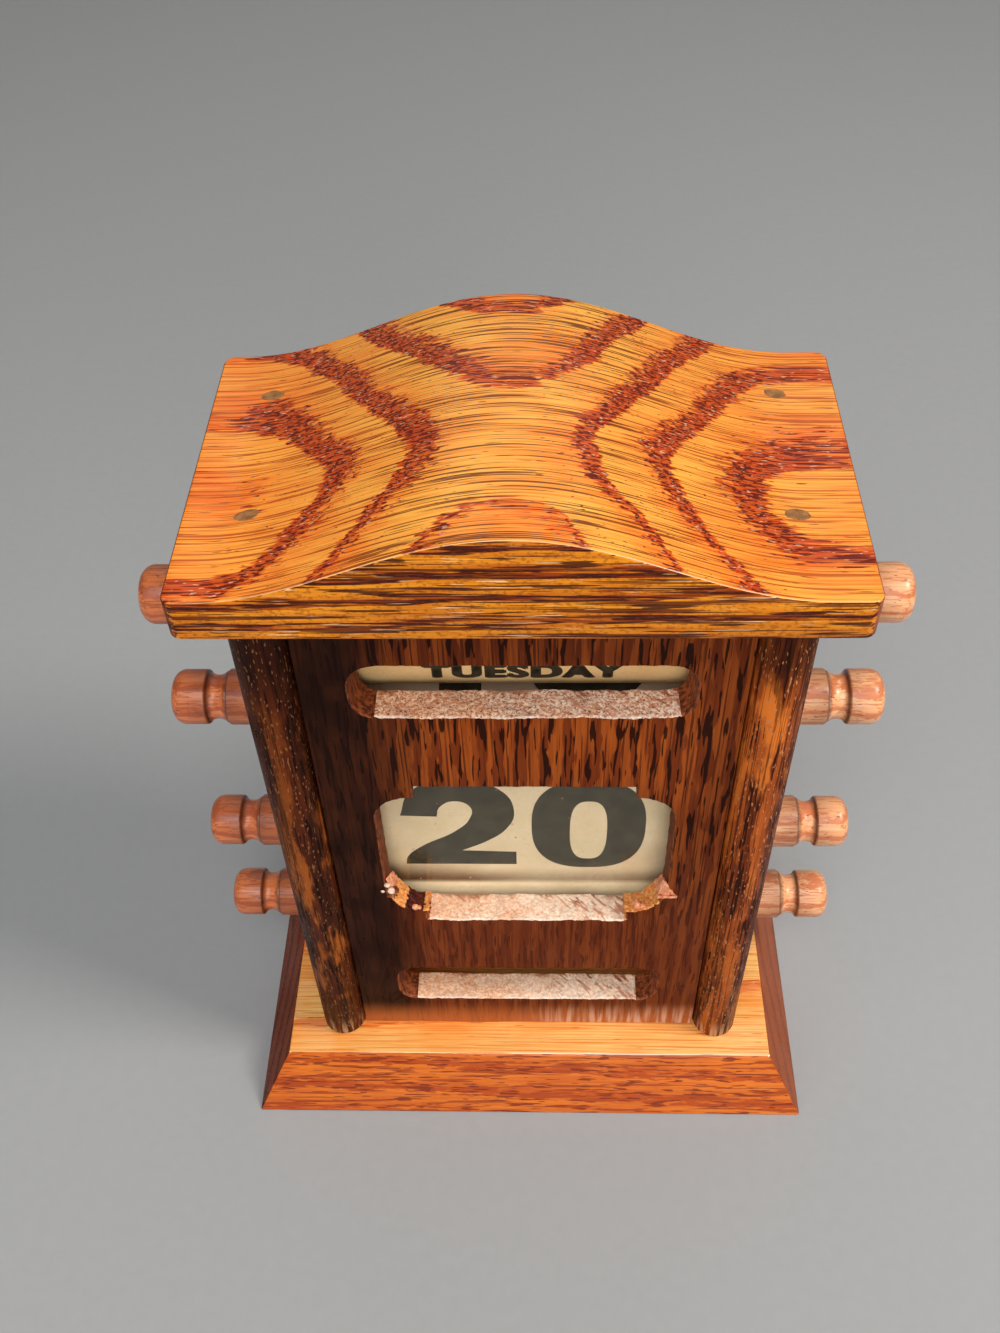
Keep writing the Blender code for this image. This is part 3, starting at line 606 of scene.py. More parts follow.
def roof_oak():
    """Golden oak under a glossy finish. The early wood narrows to the front, the crest and the ends."""
    nodes = Oak("golden_oak_roof", (0.20, 0.14, 0.25))
    x, y, _ = nodes.split(nodes.grain)
    off_middle = abs(x)
    share = y.ramp(-0.027, 0.002, off_middle.ramp(0.018, 0.040, 0.11, 0.26), 0.36)
    share = share * off_middle.ramp(0.001, 0.014, 0.30, 1.0)
    share = share * x.ramp(-0.046, -0.034, y.ramp(-0.020, -0.008, 0.9, 0.02), 1.0)
    share = share * x.ramp(0.030, 0.047, 1.0, 0.40)
    wings = off_middle.ramp(0.008, 0.036)
    light = nodes.blend(wings, (255, 190, 82), (255, 176, 72))
    line = nodes.blend(wings, (92, 28, 4), (184, 76, 18))
    colours = (light, (238, 104, 24), (190, 58, 22), line, (92, 12, 2))
    sizes = figure(
        early=share, pores=0.0, crowding=0.21, ragged=0.30, length=0.0070, width=0.00031, line=0.0060,
    )
    colour = nodes.stained(ROOF_RINGS, sizes, colours)
    # Painted highlight: pale glints on the pores in the early-wood bands.
    painted_pore_glints = nodes.streaks((700.0, 2600.0, 2600.0), 1.0).ramp(0.64, 0.70, 0.0, 0.6)
    colour = colour.tinted(painted_pore_glints * nodes.marks["Bands"], (246, 196, 160))
    # Painted highlight along the roof's front arris.
    painted_arris_highlight = y.ramp(ROOF_LOW.y + 0.0001, ROOF_LOW.y + 0.00035, 0.6, 0.0)
    return nodes.satin(colour.tinted(painted_arris_highlight, (255, 210, 150)), 0.18, 0.34, 0.00016)


def roof_face_oak():
    """The roof's front and back faces: the same rings, deeper stain, long open pores and ray flecks."""
    nodes = Oak("golden_oak_roof_face", (0.05, 0.15, 0.15))
    colours = ((248, 158, 34), (190, 90, 12), (140, 44, 8), (88, 24, 5), (52, 8, 2))
    sizes = figure(
        early=0.20, pores=1.15, crowding=0.12, ragged=0.5, length=0.0120, width=0.00042, line=0.0007,
    )
    colour = nodes.stained(ROOF_RINGS, sizes, colours)
    flecks = nodes.streaks((1500.0, 2400.0, 2400.0), 2.0).ramp(0.50, 0.64, 0.0, 0.45)
    glints = nodes.streaks((150.0, 3000.0, 4200.0), 1.0).ramp(0.70, 0.74, 0.0, 0.8)
    colour = colour.tinted(flecks, (120, 52, 8)).tinted(glints, (255, 214, 168))
    return nodes.satin(colour, 0.12, 0.28, 0.00034)


def end_grain_oak(name, ring_sizes):
    """Sawn ends of the golden boards, which drank more stain; towards the right they are painted lighter, as
    lit by the key light from the right.
    """
    nodes = Oak(name, (0.05, 0.25, 0.12))
    colours = ((150, 66, 26), (112, 44, 16), (96, 36, 13), (96, 38, 14), (60, 18, 6))
    colour = nodes.stained(ring_sizes, figure(early=0.25, pores=0.40, crowding=0.10), colours)
    # Painted light: lighter towards the right, where the key light falls.
    right = nodes.split(nodes.grain)[0].ramp(0.0, 0.03, 0.0, 0.32)
    return nodes.satin(colour.tinted(right, (214, 122, 78)), 0.36, 0.52, 0.00008)


def base_oak():
    """The base's top: pale golden oak under gloss, with a highlight painted along its front edge at the
    right.
    """
    nodes = Oak("golden_oak_base", (1.0, 0.06, 0.3))
    colours = ((255, 212, 132), (252, 150, 56), (234, 116, 42), (238, 136, 50), (190, 88, 28))
    colour = nodes.stained(BASE_RINGS, figure(early=0.14, pores=0.0, crowding=0.12, line=0.0060), colours)
    x, y, _ = nodes.split(nodes.grain)
    # Painted highlight along the front arris, on the right half.
    edge = BASE_LOW.y + BASE_CHAMFER
    painted_arris_highlight = y.ramp(edge - 0.0001, edge + 0.0005, 0.9, 0.0) * (x + nodes.patches * 0.02).ramp(0.0, 0.01)
    return nodes.satin(colour.tinted(painted_arris_highlight, (255, 240, 220)), 0.24, 0.40, 0.00006)


def base_chamfer_oak():
    """The base's front and back chamfers, which cut across the rings and took more stain."""
    nodes = Oak("golden_oak_chamfer", (0.4, 0.18, 0.25))
    colours = ((230, 124, 38), (190, 80, 18), (178, 70, 16), (160, 62, 13), (132, 42, 8))
    sizes = figure(
        early=0.22, pores=0.80, crowding=0.05, ragged=0.6, length=0.0046, width=0.00044, line=0.0016,
    )
    colour = nodes.stained(BASE_RINGS, sizes, colours)
    return nodes.satin(colour, 0.28, 0.44, 0.00010)


def panel_oak():
    """Dark oak, darker towards the left third and the right edge, with light bounced off the base painted on
    its lower part and foot, and pale streaks at the foot.
    """
    nodes = Oak("dark_oak_panel", (0.02, 0.30, 0.06), GRAIN_UPRIGHT)
    x, _, z = nodes.split(nodes.position())
    # Painted light: the pores are lighter lower down.
    pore = nodes.blend(z.ramp(0.044, 0.074), (64, 24, 11), (26, 7, 2))
    colours = ((170, 84, 28), (122, 50, 15), (110, 44, 14), (84, 31, 10), pore)
    sizes = figure(early=0.40, pores=0.60, crowding=0.12, ragged=0.6, length=0.0085, width=0.00070)
    colour = nodes.stained(PANEL_RINGS, sizes, colours)
    # Painted light: the lower panel lighter, as lit by light bounced off the base.
    colour = colour.tinted(z.ramp(0.046, 0.070, 0.45, 0.0), (132, 58, 30))
    # Darker towards the left third and the right edge, and gradually darker further than 4 mm above or below
    # a height of 100 mm.
    sides = x.ramp(-0.0265, -0.0120, 0.97, 0.0) + x.ramp(0.024, 0.034, 0.0, 0.35)
    panel_darkening = nodes.larger(sides, abs(z - 0.100).ramp(0.004, 0.022, 0.0, 0.30))
    colour = colour.tinted(panel_darkening * (nodes.patches * 0.10 + 0.92), (30, 10, 4))
    # Painted light: the foot lighter still.
    foot = z.ramp(0.0130, 0.0215, 1.0, 0.0)
    # Pale streaks at the foot, on its right half.
    pale_foot_streaks = nodes.streaks((60.0, 900.0, 900.0), 2.0).ramp(0.42, 0.62) * (foot * x.ramp(-0.004, 0.010))
    colour = colour.tinted(foot * 0.75, (206, 116, 62)).tinted(pale_foot_streaks * 0.85, (226, 180, 152))
    return nodes.satin(colour, 0.36, 0.55, 0.00010)


SIDE_OAKS = {
    "left": (((94, 40, 16), (60, 24, 9), (52, 19, 7), (44, 16, 6), (24, 8, 3)), (0.40, 0.08), 0.35),
    "right": (((190, 94, 36), (126, 54, 20), (98, 40, 16), (84, 32, 12), (42, 15, 5)), (0.27, 0.90), 0.85),
}


def side_oak(side):
    """Dark oak of the side and back boards: orange patches, a shaded outer side, shade painted under the roof
    and pale marks in some pores.

    Each side has its colours, the strength of its orange patches low down and high up, and that of its pale
    pore marks.
    """
    colours, glow, filler = SIDE_OAKS[side]
    nodes = Oak(f"dark_oak_{side}_side", (0.02, 0.25, 0.06), GRAIN_UPRIGHT)
    sizes = figure(early=0.35, pores=0.5, crowding=0.12, ragged=0.4, length=0.0080, width=0.00042)
    colour = nodes.stained(SIDE_RINGS, sizes, colours)
    x, y, z = nodes.split(nodes.position())
    warm = nodes.streaks((60.0, 220.0, 220.0), 3.0, 0.55).ramp(0.50, 0.60) * z.ramp(0.060, 0.115, *glow)
    grain = nodes.larger(nodes.marks["Pores"], nodes.marks["Lines"]) * 0.6
    colour = colour.tinted(warm * (1.0 - grain), (232, 126, 46))
    outer = abs(x).ramp((SIDE_LOW.x + SIDE_HIGH.x) / 2, SIDE_HIGH.x, 0.0, 0.5)
    # Painted shadow under the roof's overhang, at the top of the boards.
    painted_eaves_shadow = z.ramp(ROOF_LOW.z - 0.020, ROOF_LOW.z - 0.010, 0.0, 0.7)
    colour = colour.tinted(outer, (64, 26, 12)).tinted(painted_eaves_shadow, (38, 15, 7))
    # Pale streaks low on the boards' fronts.
    foot = z.ramp(BASE_HIGH.z + 0.001, BASE_HIGH.z + 0.007, 1.0, 0.0) * y.ramp(-0.0205, -0.0180, 1.0, 0.0)
    pale_foot_streaks = nodes.streaks((80.0, 1100.0, 1100.0), 2.0).ramp(0.46, 0.58, 0.0, 0.7) * foot
    # Pale marks in some of the pores.
    pale_pore_marks = nodes.streaks((900.0, 3400.0, 3400.0), 0.0).ramp(0.70, 0.74, 0.0, filler)
    colour = colour.tinted(pale_foot_streaks, (220, 170, 130)).tinted(pale_pore_marks, (196, 134, 88))
    return nodes.satin(colour, 0.32, 0.50, 0.00010)


# Each side's colours and the strength of the shade painted on its collars. The right knobs are painted
# lighter and the left darker, as lit by the key light from the right.
KNOB_OAKS = {
    "left": (((238, 136, 72), (196, 96, 48), (178, 82, 40), (178, 88, 46), (110, 46, 22)), 0.80),
    "right": (((255, 198, 144), (240, 152, 98), (214, 118, 70), (214, 126, 80), (160, 84, 50)), 0.45),
}


def knob_oak(side):
    """Satin turned wood, with shade painted on the collar beside the side board and darker grooves."""
    colours, collar_shade = KNOB_OAKS[side]
    nodes = Oak(f"turned_oak_{side}", (0.75, 0.32, 0.40))
    colour = nodes.stained(KNOB_RINGS, figure(early=0.25, pores=0.0, crowding=0.02, length=0.0012), colours)
    outward_x = abs(nodes.split(nodes.grain)[0])
    # Painted shade on the collar beside the side board.
    collar = outward_x.ramp(COLLAR_SHADE_FROM, COLLAR_SHADE_TO, collar_shade, 0.0)
    # Darker near the grooves beside the waist.
    groove = nodes.add("ShaderNodeAttribute", output="Fac", attribute_name="groove")
    colour = colour.tinted(nodes.larger(collar, groove * 0.85), (70, 28, 15))
    return nodes.satin(colour, 0.34, 0.50, 0.00006)


# Cut wood, paper, ink, glass, putty and steel

def raw_cut_oak():
    """Unstained end grain left by the chisel: grainy, redder at the left and high up, torn at the right."""
    nodes = Finish("raw_cut_oak", Specular_IOR_Level=0.3)
    marks = nodes.mottled(0.004, 0.00040, 0.7)
    patches, specks = marks["Patches"], marks["Specks"]
    x, y, z = nodes.split(nodes.grain)
    grain = nodes.streaks((1500.0, 1900.0, 1500.0), 4.0, 0.75)
    slant = nodes.scaled(nodes.position(TORN_ASLANT), (260.0, 1300.0, 900.0))
    tears = nodes.noise(slant, 2.0, 0.6).ramp(0.54, 0.62) * x.ramp(0.0, 0.012, 0.20, 0.8)
    pale = (x + patches * 0.016).ramp(-0.012, 0.020)
    shade = nodes.blend(pale, (236, 166, 124), (246, 200, 168))
    shade = shade.tinted(z.ramp(0.070, 0.100) * 0.75, (196, 118, 74))
    light = nodes.blend(pale, (255, 216, 182), (255, 238, 218))
    colour = nodes.blend(grain.ramp(0.40, 0.60), shade, light).tinted(tears, (196, 120, 88))
    colour = colour.tinted(specks * z.ramp(0.070, 0.100, 0.15, 0.85), (138, 68, 38))
    # Darker towards the sill's back edge.
    back_edge_darkening = y + (tears - patches) * 0.0016
    colour = colour.tinted(back_edge_darkening.ramp(-0.0150, -0.0136, 0.0, 0.75), (150, 80, 42))
    # Painted highlight along the sill's front arris, in patches.
    painted_arris_highlight = y.ramp(PANEL_LOW.y + 0.00015, PANEL_LOW.y + 0.00045, 0.5, 0.0)
    colour = colour.tinted(painted_arris_highlight * patches.ramp(0.2, 0.6, 0.1, 1.0), (255, 240, 226))
    return nodes.surface(colour, grain.ramp(0.2, 0.8, 0.6, 0.85), grain - specks, 0.00014)


# Walls with stain on them, corners that took little, the darkest wood in the hollow, and loose flakes
CUT_COLOURS = {
    "stained_cut_oak": ((80, 34, 15), (164, 84, 42), (36, 13, 7)),
    "golden_cut_oak": ((236, 130, 62), (255, 194, 116), (190, 92, 42)),
    "hollow_cut_oak": ((58, 14, 8), (112, 40, 20), (28, 8, 4)),
    "torn_flake_oak": ((220, 124, 80), (255, 188, 148), (164, 82, 52)),
}


def cut_oak(name):
    """Rough sawn or broken wood of the windows, in its dark, light and speck colours."""
    dark, light, speck = CUT_COLOURS[name]
    nodes = Finish(name, Specular_IOR_Level=0.3)
    specks = nodes.mottled(0.003, 0.0004, 0.7)["Specks"]
    torn_wood = nodes.streaks((1500.0, 1500.0, 500.0), 3.0, 0.65)
    colour = nodes.blend(torn_wood.ramp(0.36, 0.64), dark, light).tinted(specks * 0.35, speck)
    return nodes.surface(colour, torn_wood.ramp(0.2, 0.8, 0.5, 0.8), torn_wood, 0.00014)


def bare_wood():
    """Plain pale wood of the rollers and the glass beads."""
    nodes = Finish("bare_wood")
    marks = nodes.figured(BARE_RINGS, figure(pores=0.1))
    colour = nodes.blend(marks["Tone"], (214, 178, 132), (186, 144, 98))
    colour = colour.tinted(marks["Bands"] * 0.4, (158, 112, 70)).tinted(marks["Pores"] * 0.4, (110, 72, 42))
    return nodes.surface(colour, marks["Tone"].ramp(0.0, 1.0, 0.6, 0.8), marks["Height"], 0.00005)


DATE_PAPER = ((238, 212, 182), (226, 198, 164), (204, 172, 134))
DRUM_PAPER = ((255, 220, 160), (244, 200, 138), (214, 170, 110))


def painted_crease_shade(nodes):
    """How much shade is painted on the date sheet along and above its crease over the lower roll, reaching
    higher up at the left.
    """
    x, _, z = nodes.split(nodes.grain)
    reach = x.ramp(-0.018, -0.008, SHEET_CREASE_Z + 0.0070, SHEET_CREASE_Z + 0.0044)
    crease_shade_share = z.ramp(SHEET_CREASE_Z, reach, 0.95, 0.0) * z.ramp(SHEET_CREASE_Z - 0.0006, SHEET_CREASE_Z)
    return crease_shade_share * x.ramp(-0.012, 0.002, 1.0, 0.6)


def aged_paper(name, colours, creased=False):
    """Old printing paper: faint fibres, uneven ageing and a few foxed specks."""
    light, dark, stain = colours
    nodes = Finish(name, Specular_IOR_Level=0.3)
    marks = nodes.mottled(0.009, 0.0005, 0.12)
    fibre = nodes.streaks((1400.0, 1400.0, 1400.0), 4.0, 0.7)
    colour = nodes.blend(marks["Patches"], light, dark).tinted(fibre.ramp(0.4, 0.8, 0.0, 0.30), stain)
    colour = colour.tinted(marks["Specks"] * 0.5, (110, 84, 50))
    if creased:
        # Painted shade along and above the crease.
        colour = colour.tinted(painted_crease_shade(nodes), (96, 58, 26))
    return nodes.surface(colour, fibre.ramp(0.2, 0.8, 0.72, 0.9), fibre, 0.00002)


def patchy(name, sizes, colours, speck_share, roughness, depth, **constants):
    """A finish in soft patches of two colours, with specks of a third that stand proud."""
    light, dark, speck = colours
    nodes = Finish(name, **constants)
    marks = nodes.mottled(*sizes)
    colour = nodes.blend(marks["Patches"], light, dark).tinted(marks["Specks"] * speck_share, speck)
    return nodes.surface(colour, marks["Patches"].ramp(0.0, 1.0, *roughness), marks["Specks"], depth)


def printing_ink():
    """Worn black ink with the paper's grain showing through."""
    colours = ((66, 57, 41), (56, 47, 32), (104, 96, 76))
    sizes = (0.004, 0.00028, 0.35)
    return patchy("printing_ink", sizes, colours, 0.45, (0.6, 0.8), 0.00001, Specular_IOR_Level=0.3)


def putty():
    """Dull filler over the sunk brad heads."""
    colours = ((172, 118, 66), (128, 86, 50), (92, 56, 34))
    sizes = (0.0014, 0.0003, 0.5)
    return patchy("brad_putty", sizes, colours, 0.6, (0.45, 0.65), 0.00004, Specular_IOR_Level=0.4)


def screw_steel():
    """Dull bare steel with specks of rust."""
    colours = ((170, 164, 154), (120, 112, 102), (96, 66, 44))
    sizes = (0.0016, 0.0004, 0.5)
    return patchy("screw_steel", sizes, colours, 0.7, (0.28, 0.5), 0.00003, Metallic=1.0)


def window_glass():
    """Old pane with a faint haze. Light passes straight through it to the paper."""
    nodes = Finish("window_glass", Metallic=0.0, IOR=1.3, Transmission_Weight=1.0)
    haze = nodes.mottled(0.012)["Patches"]
    shadow = nodes.add("ShaderNodeLightPath", output="Is Shadow Ray")
    nodes.feed(nodes.shader.inputs["Alpha"], 1.0 - shadow * 0.92)
    colour = nodes.blend(haze, (246, 248, 243), (238, 241, 232))
    return nodes.surface(colour, haze.ramp(0.0, 1.0, 0.01, 0.03))


# Meshes

def opened(mesh):
    """A mesh as a shape that can be edited."""
    shape = bmesh.new()
    shape.from_mesh(mesh)
    return shape


def welded(mesh):
    """A mesh as a shape that can be edited, with its doubled points merged."""
    shape = opened(mesh)
    bmesh.ops.remove_doubles(shape, verts=shape.verts, dist=MERGE_DISTANCE)
    return shape


def closed(shape, mesh):
    """Puts an edited shape back in its mesh."""
    shape.to_mesh(mesh)
    shape.free()
    return mesh


def new_mesh(name, shape):
    return closed(shape, bpy.data.meshes.new(name))


def joined_mesh(name, meshes):
    shape = bmesh.new()
    for mesh in meshes:
        shape.from_mesh(mesh)
    return new_mesh(name, shape)


def outward(mesh, smooth=True):
    """Merges loose points, turns the faces outwards and shades the mesh."""
    shape = welded(mesh)
    bmesh.ops.recalc_face_normals(shape, faces=shape.faces)
    if shape.calc_volume(signed=True) < 0:
        bmesh.ops.reverse_faces(shape, faces=shape.faces)
    closed(shape, mesh)
    if smooth:
        mesh.shade_smooth()
        mesh.set_sharp_from_angle(angle=SHARP_ANGLE)
    return mesh


def rounded(mesh, chosen, width, segments, clamp):
    """The mesh with its chosen edges rounded."""
    shape = welded(mesh)
    edges = [edge for edge in shape.edges if chosen(edge)]
    bmesh.ops.bevel(
        shape, geom=edges, offset=width, segments=segments, profile=0.5, affect="EDGES", clamp_overlap=clamp,
        material=-1,
    )
    return closed(shape, mesh)


def softened(mesh, width=ARRIS):
    """The mesh with its sharp edges rounded, as sanding does."""
    return rounded(mesh, lambda edge: edge.calc_face_angle(0.0) > SHARP_ANGLE, width, ARRIS_SEGMENTS, True)


def add_object(name, data):
    obj = bpy.data.objects.new(name, data)
    bpy.context.scene.collection.objects.link(obj)
    return obj


def evaluated_mesh(obj):
    bpy.context.view_layer.update()
    graph = bpy.context.evaluated_depsgraph_get()
    return bpy.data.meshes.new_from_object(obj.evaluated_get(graph))


def grown(name, nodes, source, values):
    """Runs a geometry tree on a source mesh and keeps the result as a plain mesh."""
    obj = add_object(name, source)
    modifier = obj.modifiers.new(name, "NODES")
    modifier.node_group = nodes.tree
    for item in nodes.tree.interface.items_tree:
        if item.name in values:
            modifier[item.identifier] = values[item.name]
    mesh = evaluated_mesh(obj)
    obj.modifiers.remove(modifier)
    bpy.data.objects.remove(obj)
    mesh.name = name
    return mesh


def piece(name, mesh, body, replaced=(), materials=()):
    """A finished piece at the origin, on its body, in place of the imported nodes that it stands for."""
    for material in materials:
        mesh.materials.append(material)
    obj = add_object(name, mesh)
    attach(obj, body)
    if replaced:
        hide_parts(*replaced)
    return obj


def drilled(mesh, cutters):
    """The mesh with the cutter meshes taken out of it."""
    obj = add_object("drilled", mesh)
    tools = [add_object("drill", cutter) for cutter in cutters]
    for tool in tools:
        boolean = obj.modifiers.new("drill", "BOOLEAN")
        boolean.operation = "DIFFERENCE"
        boolean.solver = "EXACT"
        boolean.object = tool
    result = evaluated_mesh(obj)
    for item in (obj, *tools):
        bpy.data.objects.remove(item)
    return result


def box_mesh(name, low, high):
    shape = bmesh.new()
    matrix = Matrix.Translation((low + high) / 2) @ Matrix.Diagonal((*(high - low), 1.0))
    bmesh.ops.create_cube(shape, size=1.0, matrix=matrix)
    return new_mesh(name, shape)


def arc(centre_x, centre_y, radius, start, end, points):
    angles = [start + (end - start) * i / (points - 1) for i in range(points)]
    return [(centre_x + radius * math.cos(a), centre_y + radius * math.sin(a)) for a in angles]


def looped(items):
    """Each item of a closed loop with the next one."""
    return zip(items, items[1:] + items[:1])


def strip(shape, near, far):
    """Faces between two closed loops of points."""
    return [shape.faces.new((a, b, d, c)) for (a, b), (c, d) in zip(looped(near), looped(far))]


def turned_tree():
    """Turns a profile about X. Its points run along the source mesh as (place along X, radius)."""
    nodes = geometry_tree("turned_piece", (("Steps", "NodeSocketInt", 48),))
    steps, source = nodes.given["Steps"], nodes.given["Source"]
    count = nodes.add("GeometryNodeAttributeDomainSize", {0: source})
    columns = steps + 1.0
    grid = nodes.add("GeometryNodeMeshGrid", {"Vertices X": count, "Vertices Y": columns})
    index = nodes.add("GeometryNodeInputIndex")
    row = nodes.math("FLOOR", (index + 0.5) / columns)
    angle = (index - row * columns) / steps * (2 * math.pi)
    feeds = {"Geometry": source, "Value": nodes.add("GeometryNodeInputPosition"), "Index": row}
    point = nodes.add("GeometryNodeSampleIndex", feeds, data_type="FLOAT_VECTOR", domain="POINT")
    along, radius, _ = nodes.split(point)
    place = nodes.joined(along, radius * nodes.math("COSINE", angle), radius * nodes.math("SINE", angle))
    turned_grid = nodes.add("GeometryNodeSetPosition", {"Geometry": grid, "Position": place})
    feeds = {"Geometry": turned_grid, "Distance": MERGE_DISTANCE}
    finish_tree(nodes, nodes.add("GeometryNodeMergeByDistance", feeds))
    return nodes


TURNED = turned_tree()


def turned(name, profile, steps, material, centre=(0.0, 0.0, 0.0)):
    """A turned mesh about an axis along X through a centre, from (place along X, radius) points."""
    outline = bpy.data.meshes.new(name)
    outline.from_pydata([(along, radius, 0.0) for along, radius in profile], [], [])
    mesh = grown(name, TURNED, outline, {"Steps": steps, "Material": material})
    mesh.transform(Matrix.Translation(centre))
    return outward(mesh)


# Boards

def wave_tree():
    """A board with a raised cosine wave on top, the same all along its depth."""
    sizes = ("Width", "Depth", "Thickness", "Crest Rise", "Crest X", "Wave Half Width")
    inputs = (*[(size, "NodeSocketFloat", 0.0) for size in sizes], ("Wave Steps", "NodeSocketInt", 8))
    nodes = geometry_tree("wave_board", inputs)
    given = nodes.given
    crest, half_width = given["Crest X"], given["Wave Half Width"]
    columns = given["Wave Steps"] + 3.0
    size = nodes.joined(given["Width"], given["Depth"], given["Thickness"])
    feeds = {"Size": size, "Vertices X": columns, "Vertices Y": 2, "Vertices Z": 2}
    block = nodes.add("GeometryNodeMeshCube", feeds)
    x, y, z = nodes.split(nodes.add("GeometryNodeInputPosition"))
    column = (x / given["Width"] + 0.5) * (columns - 1.0)
    wave_end = given["Wave Steps"] + 1.0
    feeds = {0: column, 1: 1.0, 2: wave_end, 3: crest - half_width, 4: crest + half_width}
    wave_x = nodes.add("ShaderNodeMapRange", feeds)
    inside = (column > 0.5) * (column < wave_end + 0.5)
    new_x = wave_x * inside + x * (1.0 - inside)
    distance = nodes.math("MINIMUM", abs(new_x - crest), half_width)
    wave = (nodes.math("COSINE", distance / half_width * math.pi) + 1.0) * 0.5
    new_z = z + wave * given["Crest Rise"] * (z > 0.0)
    feeds = {"Geometry": block, "Position": nodes.joined(new_x, y, new_z)}
    finish_tree(nodes, nodes.add("GeometryNodeSetPosition", feeds))
    return nodes


def roof_top(x):
    """Height of the roof's top at x."""
    distance = min(abs(x - ROOF_CREST_X), ROOF_WAVE_HALF_WIDTH)
    wave = (1 + math.cos(math.pi * distance / ROOF_WAVE_HALF_WIDTH)) / 2
    return ROOF_EDGE_Z + ROOF_CREST_RISE * wave


def is_roof_corner(edge):
    """Whether an edge stands upright or level along X at an end of the roof, at one place along Y."""
    at_end = all(abs(abs(vertex.co.x) - ROOF_HIGH.x) < MERGE_DISTANCE for vertex in edge.verts)
    return at_end and abs(edge.verts[0].co.y - edge.verts[1].co.y) < MERGE_DISTANCE


def coat_by_facing(mesh, materials, limits):
    """Coats a board's top and underside, its front and back, and its ends in three materials."""
    end_limit, front_limit = limits
    mesh.materials.clear()
    for material in materials:
        mesh.materials.append(material)
    for face in mesh.polygons:
        if abs(face.normal.x) > end_limit:
            face.material_index = 2
        elif abs(face.normal.y) > front_limit:
            face.material_index = 1
        else:
            face.material_index = 0
    return mesh


def roof_board():
    top_oak = roof_oak()
    values = {
        "Width": ROOF_HIGH.x - ROOF_LOW.x,
        "Depth": ROOF_HIGH.y - ROOF_LOW.y,
        "Thickness": ROOF_EDGE_THICKNESS,
        "Crest Rise": ROOF_CREST_RISE,
        "Crest X": ROOF_CREST_X,
        "Wave Half Width": ROOF_WAVE_HALF_WIDTH,
        "Wave Steps": ROOF_WAVE_STEPS,
        "Material": top_oak,
    }
    mesh = grown("oak_roof_board", wave_tree(), bpy.data.meshes.new("roof"), values)
    mesh = rounded(mesh, is_roof_corner, ROOF_CORNER_RADIUS, CORNER_SEGMENTS, False)
    middle = Vector(((ROOF_LOW.x + ROOF_HIGH.x) / 2, (ROOF_LOW.y + ROOF_HIGH.y) / 2, 0.0))
    mesh.transform(Matrix.Translation(middle + Vector((0.0, 0.0, ROOF_LOW.z + ROOF_EDGE_THICKNESS / 2))))
    mesh = outward(softened(mesh, ROOF_ARRIS))
    oaks = [top_oak, roof_face_oak(), end_grain_oak("roof_end_grain", ROOF_RINGS)]
    piece("oak_roof_board", coat_by_facing(mesh, oaks, ROOF_FACING), "case", ["roof_board"])


def screw_drilled(mesh, board):
    """A board's mesh with its screw holes."""
    holes = [screw_hole(place, turn) for place, turn in screw_places(board).values()]
    return outward(drilled(mesh, holes))


def base_board():
    mesh = box_mesh("oak_base_board", BASE_LOW, BASE_HIGH)
    middle_z = (BASE_LOW.z + BASE_HIGH.z) / 2
    for vertex in mesh.vertices:
        if vertex.co.z > middle_z:
            vertex.co.x -= math.copysign(BASE_CHAMFER, vertex.co.x)
            vertex.co.y -= math.copysign(BASE_CHAMFER, vertex.co.y)
    mesh = screw_drilled(softened(mesh), "base")
    oaks = [base_oak(), base_chamfer_oak(), end_grain_oak("base_end_grain", BASE_RINGS)]
    piece("oak_base_board", coat_by_facing(mesh, oaks, BASE_FACING), "case", ["base_plate"])


def back_board():
    mesh = screw_drilled(softened(box_mesh("oak_back_board", *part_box("back_panel"))), "back")
    piece("oak_back_board", mesh, "case", ["back_panel"], [side_oak("left")])


def side_board(side, material):
    """A side board with a full-round front edge and bores for the four knob shanks."""
    node = f"{side}_side_board"
    low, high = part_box(node)
    radius = (high.x - low.x) / 2
    middle_x = (low.x + high.x) / 2
    outline = [(high.x, high.y), (low.x, high.y)]
    outline += arc(middle_x, low.y + radius, radius, HALF_TURN, 2 * HALF_TURN, BULLNOSE_STEPS)
    shape = bmesh.new()
    face = shape.faces.new([shape.verts.new((x, y, low.z)) for x, y in outline])
    lifted = bmesh.ops.extrude_face_region(shape, geom=[face])
    top = [item for item in lifted["geom"] if isinstance(item, bmesh.types.BMVert)]
    bmesh.ops.translate(shape, verts=top, vec=(0.0, 0.0, high.z - low.z))
    mesh = softened(outward(new_mesh("side_board", shape)), ARRIS / 2)
    reach = radius * 2
    profile = [(-reach, 0.0), (-reach, BORE_RADIUS), (reach, BORE_RADIUS), (reach, 0.0)]
    bores = []
    for place in AXIS_PLACES.values():
        bores.append(turned("bore", profile, TURNED_STEPS, None, (middle_x, place.y, place.z)))
    mesh = outward(drilled(mesh, bores))
    mesh.materials.clear()
    piece(f"oak_{node}", mesh, "case", [node], [material])


# Front panel

def slot_outline(window):
    """A slot with rounded corners about its centre, counter-clockwise."""
    x = window["half_width"] - window["round"]
    z = window["height"] / 2 - window["round"]
    outline = []
    for corner_x, corner_z, quarter in ((x, -z, 3), (x, z, 0), (-x, z, 1), (-x, -z, 2)):
        start = quarter * QUARTER_TURN
        outline += arc(corner_x, corner_z, window["round"], start, start + QUARTER_TURN, CORNER_SEGMENTS)
    return outline


